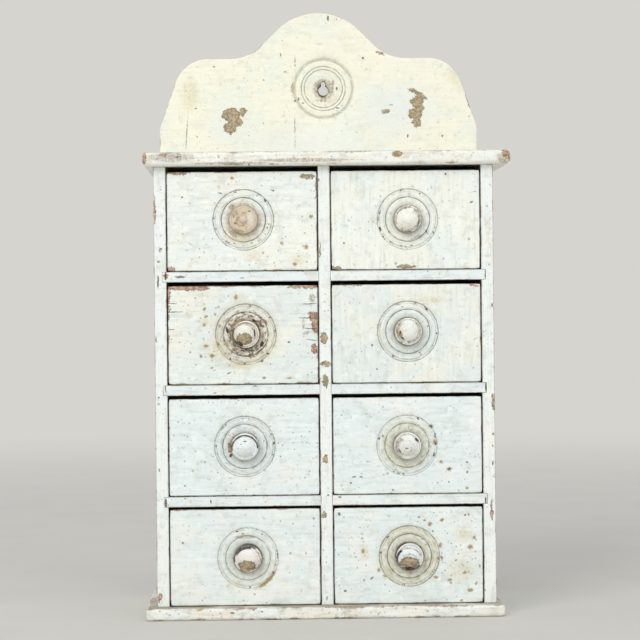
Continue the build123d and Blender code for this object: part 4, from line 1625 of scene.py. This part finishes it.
# On the knobs, the ring-shaped dark marks round the rim are painted shadow outlines and crescents with some dirt
DRAWERS = (
    DrawerFacts(
        "top_left", (-59.95, 297.85), PaintLook(**ROW_TINTS[0], speck_share=0.9, edge_share=0.6, smudge_share=0.5),
        {"tint": "#CDBFA4", "tint_share": 0.7, "tint_to": 14.0, "line_share": 0.95, "dirt_share": 0.5},
        worn(bare=[(176, 173, 12, 1.8), (171, 269.5, 5.5, 2.2), (316, 188, 0.7, 12)],
             chip=[(307, 176.5, 8.5, 2.8)],
             rust=[(232, 178, 2.6, 3.2), (311, 216.5, 2.8, 2.8), (306, 247, 3.2, 4.2), (282, 243, 2.6, 2.6),
                   (295, 264, 3.6, 2.6)],
             crack=[(192, 245, 5, 0.6, -35), (276, 196, 40, 0.5, -2.5)],
             stain=[(240, 238, 24, 8), (298, 260, 12, 9), (253, 256, 12, 9)],
             speck=[(182, 197.5, 1.4, 1.2), (220, 193.2, 3, 0.8, -10), (226, 241.5, 1, 0.8),
                    (228.5, 242.8, 1.6, 0.7, -15), (234, 243.2, 1.2, 0.7), (251.5, 242.7, 1.2, 0.7, 15),
                    (258.6, 241, 1.2, 0.7, 20), (267.5, 227.6, 1, 1.3), (268.8, 224, 0.9, 0.9), (250, 214, 1.4, 1.2),
                    (273, 190.5, 2.4, 1.2, -20)],
             spatter=[(294, 232, 26, 40), (262, 190, 26, 10)],
             grime=[(233, 234, 7, 3.2, -35), (231, 207, 4.5, 3, 30)]),
        worn(grime=[(241.7, 220.6, 6.4, 6.4, 0, 0.78, 215, 190), (234, 213, 6, 5), (238, 231, 8, 2.6, -10)],
             cool=[(250, 218, 4.5, 9)],
             speck=[(235, 223, 2, 1.4, -20), (233.5, 216.5, 1, 1.5), (249, 211, 1.5, 1)],
             bare=[(244, 213, 2.4, 0.7, -25)]),
        "#DDCAB1", "#CBB595", 0.35, BUTTON_KNOB),
    DrawerFacts(
        "top_right", (62.75, 297.35), PaintLook(**ROW_TINTS[0], speck_share=0.4, edge_share=0.5, stroke_axis="Z"),
        {"line_share": 0.75, "neck_share": 0.75},
        worn(chip=[(336, 268, 6, 1.8), (406, 266.5, 10, 2.2)],
             speck=[(445.6, 174, 1.4, 1.4), (344, 243, 1.4, 1.3), (471, 202, 2.4, 1, 20), (388.8, 232, 1.4, 0.9),
                    (401.5, 245.8, 1.4, 0.7), (405.5, 246.5, 0.8, 0.8), (411.5, 245.4, 2.2, 0.6),
                    (383, 236.5, 1.6, 0.9, -40), (385, 239, 1.2, 0.7), (426.5, 231, 1, 1.8)],
             grime=[(427, 232, 3.4, 1.6, -50), (417, 237, 9, 2, 20)],
             crack=[(473, 192, 6, 0.6, 12)],
             bare=[(395, 269.3, 50, 0.5)],
             spatter=[(440, 185, 40, 14)]),
        worn(grime=[(407.9, 218.8, 14, 14, 0, 0.84, -35, 190), (407.9, 218.8, 14, 14, 0, 0.88, 140, 140)],
             crack=[(404, 208.5, 5, 0.8, 4)],
             speck=[(418.8, 223, 0.9, 5, -15), (409, 231.3, 4.4, 0.7)],
             stain=[(398, 229, 7, 2.5, -20)]),
        "#F8F7EE", "#EDE8DA"),
    DrawerFacts(
        "upper_left", (-58.95, 212.4), PaintLook(**ROW_TINTS[1], speck_share=0.7, edge_share=0.9, edge_width=0.8),
        {"tint": "#DCD0B0", "tint_share": 0.6, "tint_to": 24.0, "line_share": 0.9, "flake_share": 1.0,
         "dirt_share": 0.6, "neck_share": 0.8, "neck_tone": "#54443A"},
        worn(bare=[(186, 287.8, 26, 3.4, -2), (168, 296, 2.6, 9), (316, 322, 4.5, 12), (313, 317, 5, 5),
                   (314.5, 349, 3.4, 6), (303, 286.8, 17, 2)],
             grime=[(303.4, 324, 1.8, 6.5), (306, 333, 5, 1.6, 20), (311, 313, 5, 2), (312, 298, 4, 6)],
             burn=[(309, 303.8, 8.5, 0.55, 2), (307.5, 318, 10.5, 0.6, -2), (310, 328.5, 8, 0.5, -2),
                   (311.5, 340, 6.5, 0.5, -5), (175, 312, 9.5, 0.5, 1), (172.5, 303.7, 5, 0.4),
                   (171.5, 329.6, 4, 0.4), (258, 332, 2.4, 5, 15), (262, 344, 2, 3.4, -25), (254, 321, 2.6, 1.6, -30),
                   (227, 330, 1.4, 4, 10)],
             chip=[(168.3, 309, 1.8, 4), (168.3, 317, 1.8, 4), (251, 356.5, 5, 1),
                   (245, 334, 15.5, 15.5, 0, 0.82, 165, 150)],
             rust=[(204.5, 309, 2.2, 3), (206, 316.5, 2.4, 2.6), (204, 325, 3, 3.4), (215, 314, 2, 2),
                   (201, 356, 2, 2.6), (206, 346, 3.4, 2.4), (212, 368, 2.4, 1.8), (190, 352, 1.8, 1.8),
                   (220, 326, 2.4, 2.4), (236, 297, 2.2, 4.4), (212, 356, 3.6, 3), (264, 378, 2.4, 2),
                   (289, 378, 3.8, 1.6)],
             stain=[(218, 350, 22, 20), (208, 322, 10, 9), (240, 365, 30, 7), (238, 298, 12, 8)],
             speck=[(262, 361, 2.2, 1.8), (229, 373, 3, 0.9, 20), (289, 342, 1.8, 1.4)],
             spatter=[(215, 345, 34, 40), (285, 360, 26, 16)]),
        worn(chip=[(244, 339, 8.4, 6.6)],
             burn=[(239.6, 344, 4.2, 2.4, -30), (254.5, 333, 1, 4.5), (243.8, 334.5, 12.6, 12.6, 0, 0.9, 205, 130)],
             grime=[(243.8, 334.5, 13, 13, 0, 0.86, 60, 170)]),
        "#F1EDE1", "#DCD2C0", 0.8),
    DrawerFacts(
        "upper_right", (62.25, 213.4), PaintLook(**ROW_TINTS[1], speck_share=0.35, edge_share=0.4, stroke_axis="Z"),
        {"line_share": 0.85, "neck_share": 0.8},
        worn(crack=[(475.5, 338.7, 3, 0.7, 25)],
             speck=[(372, 345, 1.5, 1.3), (377, 369, 1.3, 1.3), (419.8, 352.5, 1.2, 1), (428, 326, 1, 1)],
             bare=[(474, 285, 4.5, 1.6), (350, 285.2, 16, 0.7)],
             stain=[(430, 300, 26, 5)]),
        worn(rust=[(400.5, 334, 3.6, 5, 15)],
             burn=[(402.6, 338, 2.2, 1.3, -40), (400.3, 332.4, 0.9, 2.4)],
             stain=[(401, 328, 5, 8)],
             grime=[(408.6, 330.9, 13.2, 13.2, 0, 0.86, -25, 150), (408.6, 330.9, 13.2, 13.2, 0, 0.82, 190, 130)],
             crack=[(402, 320, 3.5, 0.6, 30)]),
        "#F3F5EF", "#E6E6DA"),
    DrawerFacts(
        "lower_left", (-60.45, 128.65), PaintLook(**ROW_TINTS[2], speck_share=1.0, edge_share=0.35, smudge_share=0.6),
        {"line_share": 0.8, "tint": "#D2D8D2", "tint_share": 0.4, "neck_share": 0.6, "dirt_share": 0.5},
        worn(speck=[(255, 495, 2, 1), (185, 486, 1.2, 1.2)],
             bare=[(262, 399, 50, 0.5), (244.6, 448.6, 16.6, 16.6, 0, 0.86, 165, 70),
                   (244.6, 448.6, 16.4, 16.4, 0, 0.86, 62, 56), (244.6, 448.6, 15.2, 15.2, 0, 0.9, 110, 60)],
             burn=[(231, 455.6, 1.4, 2.4, -30)],
             spatter=[(178, 425, 22, 30), (238, 478, 36, 12), (280, 440, 30, 30)]),
        worn(burn=[(244.8, 448.6, 13.8, 13.8, 0, 0.93, 95, 200)],
             stain=[(245, 458, 6, 2)],
             speck=[(244.5, 441.5, 2.4, 0.7), (241, 444, 1.4, 0.7, 30)]),
        "#EFF4F4", "#E2E8E6", 0.35),
    DrawerFacts(
        "lower_right", (60.75, 128.15), PaintLook(**ROW_TINTS[2], speck_share=0.6, edge_share=0.4, smudge_share=0.5),
        {"line_share": 0.6, "tint": "#D3CFB0", "tint_share": 0.75, "tint_from": 11.0, "tint_to": 18.5,
         "neck_share": 0.75, "dirt_share": 0.5},
        worn(rust=[(431, 426, 3.6, 3, -25), (435, 442.5, 3.2, 3.8), (441, 462, 3.2, 2.8), (449, 469, 3.6, 3.2),
                   (467, 488, 2.6, 2.2), (383, 436, 2, 2.6)],
             speck=[(449.5, 469, 1.4, 1.6), (467, 462, 1.3, 1.3), (467.3, 472, 1.4, 1.4), (354, 477, 2.8, 1.2, 15),
                    (351, 483, 1.6, 1.2), (361, 477, 2, 1), (393, 490, 1.5, 1.2), (449, 482, 1.1, 1.1),
                    (435.5, 434, 1.4, 1)],
             burn=[(431, 426.2, 1.8, 0.8, -35)],
             spatter=[(455, 470, 26, 22)]),
        worn(burn=[(417, 440.2, 3.2, 1.3, -35)],
             grime=[(407.6, 447.9, 13, 13, 0, 0.8, 180, 130)],
             speck=[(400, 451.5, 0.9, 4.6, 25), (406.5, 448.2, 2, 1), (411, 450.5, 0.7, 0.7)]),
        "#F3F5F1", "#E5E6DC"),
    DrawerFacts(
        "bottom_left", (-58.95, 45.3), PaintLook(**ROW_TINTS[3], speck_share=0.5, edge_share=0.45),
        {"line_share": 0.6, "tint": "#DCDCCB", "tint_share": 0.4, "neck_share": 0.9, "neck_tone": "#2B1F1B"},
        worn(speck=[(183, 543, 1.3, 1.3), (306, 553, 0.7, 2), (262, 534.5, 1.2, 1.2)],
             rust=[(247.4, 559.5, 32.5, 32.5, 0, 0.92, -45, 62), (243, 534, 1.8, 1.8)],
             stain=[(235, 585, 14, 4)],
             bare=[(270, 606, 40, 0.6)],
             grime=[(245, 537, 14, 2.4)],
             spatter=[(250, 588, 50, 10)]),
        worn(chip=[(247.2, 566.4, 9.8, 6.6)],
             burn=[(247.3, 559.4, 14.2, 14.2, 0, 0.92, 122, 150), (248, 560.6, 14.2, 14.2, 0, 0.9, 115, 90)],
             grime=[(247.3, 560, 14, 14, 0, 0.92, 0, 110)]),
        "#F4EEE8", "#E9E1D8", 0.3),
    DrawerFacts(
        "bottom_right", (61.75, 45.3), PaintLook(**ROW_TINTS[3], speck_share=1.0, edge_share=0.5, smudge_share=0.5),
        {"line_share": 0.9, "tint": "#D9D1AE", "tint_share": 0.8, "tint_from": 9.0, "tint_to": 23.0,
         "neck_share": 0.9, "neck_tone": "#4A4433", "dirt_share": 0.6},
        worn(rust=[(470.5, 547, 4.2, 3.6), (430, 524, 3.6, 3.2), (424.5, 520, 2.6, 2.2), (442, 520, 3.2, 2, 20),
                   (468.5, 514.5, 2.2, 2.2), (474, 537.6, 2.8, 2.8), (464.8, 572.5, 2.6, 2.6), (450, 580, 3.4, 2.2),
                   (476, 584, 2.2, 2.4), (461.7, 600.5, 3, 2), (440.4, 545, 2.6, 3.2), (442, 558, 2, 2.4),
                   (456, 560, 2.2, 2), (419, 517, 2, 1.8), (480, 566, 1.8, 3), (379, 570, 2.6, 3),
                   (363, 551, 2.6, 4.4), (349, 605, 3.6, 1.6), (383, 605, 2.6, 1.4), (470, 590, 4.6, 2.4),
                   (436, 577, 3.6, 2.6), (385, 576, 3.6, 1.8)],
             stain=[(462, 570, 22, 20), (465, 535, 16, 12), (364, 552, 8, 12)],
             speck=[(345, 591, 1.8, 1.4), (372, 578, 2.6, 1.2, 35), (339, 514, 1.8, 2), (441, 557, 1.2, 1.5),
                    (433, 531, 1.2, 1.5), (465, 515, 1.4, 1.4), (451, 583, 1.3, 1.3)],
             spatter=[(450, 560, 40, 45), (360, 560, 26, 45)]),
        worn(chip=[(409.6, 563.2, 10.4, 7.4)],
             burn=[(409.6, 560.6, 13.4, 13.4, 0, 0.86, 278, 120), (411, 569.5, 8, 2.4, -12),
                   (409.6, 560.2, 13.6, 13.6, 0, 0.9, 180, 110)],
             grime=[(409.6, 560.4, 13.2, 13.2, 0, 0.92, 80, 130), (409.8, 562.5, 9.6, 9.6, 0, 0.88, 88, 110)]),
        "#EEF2F2", "#DEDFD4", 0.5),
)

# The near-black mark at the hanging hole is painted shade in the hole
CREST_MARKS = worn(chip=[(231, 115, 9.5, 7.5), (243, 112, 3.6, 4.5), (230, 128, 6.5, 6.5), (238, 122, 5, 5),
                         (417, 102, 7, 6.5, 15), (415, 114, 7.2, 6), (417, 122, 4.5, 5.5, -10),
                         (421, 96, 6.5, 3.2, -30), (413, 90.5, 6, 1.6, -18), (385.5, 111, 4.6, 2.2),
                         (420, 108, 4.6, 4.6), (233, 121, 4, 4)],
                   speck=[(407.7, 136, 0.9, 2.4, -15), (442.4, 136, 1, 1.6, 20), (196, 108.5, 1.6, 0.9),
                          (280.5, 55, 0.9, 2.4), (363, 58, 1.6, 1.6), (328, 18.5, 1.2, 3.6), (336.7, 88.5, 1.3, 2),
                          (337.5, 108, 2.6, 1), (298.5, 99, 1.2, 2.2), (295, 101, 1, 1.4), (303, 103, 1.6, 1),
                          (214, 67, 1.2, 1), (264, 80, 0.8, 1.4), (197, 137, 0.9, 0.9), (285, 72, 2, 0.7),
                          (391, 105, 3, 0.6)],
                   bare=[(380, 53, 5, 1.6, -25), (466, 92, 1.2, 18, 14)],
                   stain=[(294, 93, 4, 6), (330, 100, 10, 6), (455, 75, 9, 16, 20), (190, 95, 12, 22)],
                   grime=[(323.4, 89.5, 11.5, 11.5, 0, 0.55), (321.5, 100.5, 7.5, 1.6, -4), (332, 86, 2, 8, -15),
                          (292.5, 88, 2, 7)],
                   burn=[(322.6, 90.6, 6, 8.4)],
                   crack=[(187, 130, 0.6, 26, -4), (295, 132, 1.1, 20), (295, 62, 0.9, 10)],
                   cool=[(300, 150, 120, 46), (395, 112, 60, 50), (225, 128, 30, 34)])

TOP_BOARD_MARKS = worn(grime=[(170, 157, 26, 7), (300, 160, 60, 3), (505, 158, 10, 7), (350, 151, 30, 2),
                              (230, 163, 50, 2)],
                       spatter=[(220, 157, 70, 7)],
                       chip=[(397, 154, 5.6, 3)],
                       rust=[(397, 155, 5, 2.2), (509, 158, 3, 3)],
                       bare=[(506, 153, 4.5, 5.5), (144, 158, 2.6, 7), (163, 155, 4, 2)],
                       crack=[(250, 151.5, 40, 0.5, -0.5), (200, 158, 26, 0.6), (350, 159.5, 30, 0.5)],
                       speck=[(286, 150.5, 3, 0.7), (178, 157, 4, 0.9, 15), (249, 165, 1, 2)])

BASE_MARKS = worn(spatter=[(200, 612, 60, 9), (400, 611, 90, 9)],
                  burn=[(274, 620.5, 12, 1.6), (232.5, 613, 2.6, 0.9)],
                  rust=[(273, 619.5, 11, 1.6), (345, 607.5, 4, 1.6), (383, 607, 3, 1.4), (200, 610, 6, 1.5)],
                  bare=[(273, 620.5, 10, 1.3), (172, 607, 12, 1.6), (330, 619.5, 24, 0.8), (450, 606, 26, 1),
                        (150, 600, 4, 7, -30)],
                  crack=[(300, 612, 40, 0.5)],
                  speck=[(262, 612, 2, 1)])

LEFT_SIDE_MARKS = worn(speck=[(158, 282, 1.2, 8), (158.5, 398, 1.2, 1.2), (158, 262, 0.9, 1.6), (159, 470, 0.8, 2.4)],
                       bare=[(154.5, 210, 0.8, 16), (160, 598, 2.2, 5)],
                       rust=[(156, 340, 1.2, 5)],
                       chip=[(160, 250, 0.9, 2.2)])

RIGHT_SIDE_MARKS = worn(chip=[(493.5, 402, 2, 9)],
                        speck=[(493, 434, 0.9, 1.4), (493, 463, 0.9, 3.4), (492.5, 446, 0.8, 1.2), (487, 206, 0.8, 2),
                               (492, 305, 0.8, 3)],
                        bare=[(491.8, 510, 1.2, 12)],
                        rust=[(485, 590, 1.4, 1.8)],
                        stain=[(489, 230, 3, 30)])

DIVIDER_MARKS = worn(chip=[(324, 338, 3.6, 6.5), (326, 364, 5.6, 3.2), (325.6, 381, 2.8, 7), (325.6, 459, 3, 4.4),
                           (324, 515, 2.6, 4)],
                     speck=[(318.5, 180, 1, 2.2), (328, 495, 1, 1.6)],
                     bare=[(320, 250, 0.9, 8)],
                     rust=[(327, 598, 1.4, 3)])

SHELF_MARKS = {
    "upper_shelf": worn(burn=[(165.6, 275.5, 0.8, 5.5), (485.5, 274, 0.8, 5.5)],
                        speck=[(180, 277, 7, 1.4), (242, 278, 3, 0.7), (300, 271, 6, 0.7)],
                        spatter=[(190, 276, 30, 6), (280, 275, 50, 5)],
                        bare=[(166, 276, 2.4, 3)]),
    "middle_shelf": worn(burn=[(165.6, 389, 0.6, 5), (485.8, 387, 0.9, 5.5)],
                         speck=[(215, 393, 2, 0.7), (255, 386, 3, 0.6)],
                         bare=[(420, 383, 14, 0.6)]),
    "lower_shelf": worn(burn=[(166, 503, 1.2, 5.5), (485.8, 501, 0.8, 5), (211, 502, 0.7, 2.6)],
                        spatter=[(260, 503, 100, 6)],
                        speck=[(185, 498.5, 1.6, 1), (340, 497, 2.4, 1)],
                        rust=[(260, 507, 4, 0.8)]),
}


# The paint ends about a millimetre behind a board's front; the rest is bare wood
FRONT_ONLY = (("y", FRONT_Y + 1.1, -1.0),)


class Cabinet:
    """The whole cabinet: its finishes, boards, crest and drawers."""

    def __init__(self) -> None:
        """Makes what the pieces share."""
        self.group = mark_group()
        self.iron = rusty_iron("rusty_wrought_iron")

    def board(self, name: str, node: str, look: PaintLook, **facts) -> bpy.types.Material:
        """Makes the finish of one painted board.

        Args:
            name: the material's name.
            node: the CAD node whose box it is drawn in.
            look: the paint's look.
            facts: anything else that sets the board apart.

        Returns:
            The material.
        """
        return PaintedBoard(name, look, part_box(node), self.group, **facts).make()

    def build_boards(self) -> None:
        """Builds the top and base boards and dresses the sides, divider and shelves."""
        top = PaintLook(cool="#F1F3EC", warm="#F6F2E6", streak="#CFC6B4", smudge="#A89B87", grime="#9A8E7A",
                        edge="#A08A70", speck_share=0.8, streak_share=0.6, smudge_share=0.65, edge_width=0.8,
                        edge_share=0.6, warm_share=0.5, dust_share=0.35)
        top_finish = self.board("worn_paint_top_board", "top_board", top, marks=TOP_BOARD_MARKS, marks_y=NOSE_Y,
                                shift=31.0)
        WornBoard("top_board", "top_paint", (-134.5, NOSE_Y, 337.9), (139.8, BACK_BOARD_FRONT_Y, 348.4), 3.5, 4.6, 5.0,
                  top_finish).build()
        base = PaintLook(cool="#EFF2EC", warm="#F3EFE2", streak="#C4BDAC", smudge="#9C917D", grime="#85775F",
                         edge="#87664C", speck_share=1.0, streak_share=0.6, smudge_share=0.7, edge_width=0.9,
                         edge_share=0.8, warm_share=0.5, dust_share=0.75)
        WornBoard("base_board", "top_paint", (-134.8, NOSE_Y, 0.0), (132.8, REAR_Y, 9.4), 3.0, 3.4, 9.0, self.board(
            "worn_paint_base_board", "base_board", base, marks=BASE_MARKS, marks_y=NOSE_Y, shift=47.0)).build()
        upright = PaintLook(cool="#F3F7F4", warm="#F7F6EE", stroke_axis="Z", speck_share=0.8, edge_width=0.35,
                            edge_share=0.6, streak_share=0.4, edge="#8A604A", edge_shade_line=0.5, warm_share=0.25)
        for side, sign, marks, shift in (("left", -1.0, LEFT_SIDE_MARKS, 3.0), ("right", 1.0, RIGHT_SIDE_MARKS, 61.0)):
            dress_node(side + "_side", self.board(
                f"worn_paint_{side}_side", side + "_side", upright, wood_axis="Z", marks=marks, shift=shift,
                painted=(("x", sign * (HALF_WIDTH - 1.0), sign), *FRONT_ONLY)))
        dress_node("centre_divider", self.board(
            "worn_paint_divider", "centre_divider", upright, wood_axis="Z", marks=DIVIDER_MARKS, shift=83.0,
            painted=FRONT_ONLY))
        rail = PaintLook(cool="#EBF2F2", warm="#F3F4EE", speck_share=0.6, edge_width=0.35, edge_share=0.6,
                         streak_share=0.5, edge="#75594A", edge_shade_line=0.55)
        for k, (shelf, marks) in enumerate(SHELF_MARKS.items()):
            dress_node(shelf, self.board(f"worn_paint_{shelf}", shelf, rail, marks=marks, shift=97.0 + 13 * k,
                                         painted=FRONT_ONLY))
        dress_node("carcass_nails", self.iron)

    def build_crest(self) -> None:
        """Builds the crest with its warmer paint."""
        look = PaintLook(cool="#F0F2E4", warm="#F8F4E0", light="#FAF9EA", streak="#DEDDCC", smudge="#C3C2B0",
                         grime="#ABA793", edge="#B09C80", speck_share=0.3, streak_share=0.4, warm_share=0.55,
                         edge_width=0.5, edge_shade_line=0.15, smudge_share=0.5)
        # Round the hanging hole the neck band is painted shade with dirt
        rosette = Rosette(4.0, 407.0, CREST_RING_LINES, line_tone="#9B9C8E", line_share=0.75, tint="#E3DECB",
                          tint_share=0.3, tint_from=6.0, tint_to=14.0, neck=4.6, neck_share=0.3, dirt_share=0.25)
        Crest(self.board("worn_paint_crest", "back_board", look, wood_axis="Z", painted=(("y", 64.4, -1.0),),
                         rim_attribute="rim", rosette=rosette, marks=CREST_MARKS, marks_y=BACK_BOARD_FRONT_Y,
                         shift=11.0)).build()

    def build_drawers(self) -> None:
        """Builds the eight drawers, each with its own paint, marks and knob."""
        lathe, brads = Lathe(), BradRow()
        for k, facts in enumerate(DRAWERS):
            body, shift = facts.name + "_drawer", 5.0 + 17.0 * k
            rosette = Rosette(*facts.centre, RING_LINES, **facts.rosette)
            front = self.board("worn_paint_" + body, body + "_front", facts.look, rosette=rosette, marks=facts.marks,
                               painted=FRONT_ONLY, shift=shift)
            knob_look = PaintLook(cool=facts.knob_tint, warm=facts.knob_shade, light=facts.knob_tint, speck_share=0.4,
                                  streak_share=0.3, warm_share=0.4, edge_share=0.0, edge_width=0.01, edge_shade_line=0.0)
            turned = Rosette(*facts.centre, KNOB_LINES, line_tone="#7D6B55", line_share=facts.knob_line_dirt_and_shade,
                             dirt_share=0.4, neck=0.0, neck_share=0.0)
            knob = self.board("worn_paint_knob_" + facts.name, facts.name + "_knob", knob_look, marks=facts.knob_marks,
                              marks_y=FRONT_Y - 9.0, marks_depth=14.0, rosette=turned, shift=shift + 3)
            boxes = {"left_side": "Y", "right_side": "Y", "back": "X", "bottom": "X"}
            finishes = {part: softwood(f"aged_pine_{body}_{part}", axis, shift + n)
                        for n, (part, axis) in enumerate(boxes.items())}
            Drawer(facts.name, rosette, facts.knob, 100 + k, front, knob, finishes, self.iron).build(lathe, brads)


def main() -> None:
    """Builds the camera, the studio and the cabinet."""
    logging.basicConfig(level=logging.INFO, format="%(message)s")
    CAMERA.place()
    Studio().build()
    cabinet = Cabinet()
    cabinet.build_boards()
    cabinet.build_crest()
    cabinet.build_drawers()


if __name__ == "__main__":
    main()
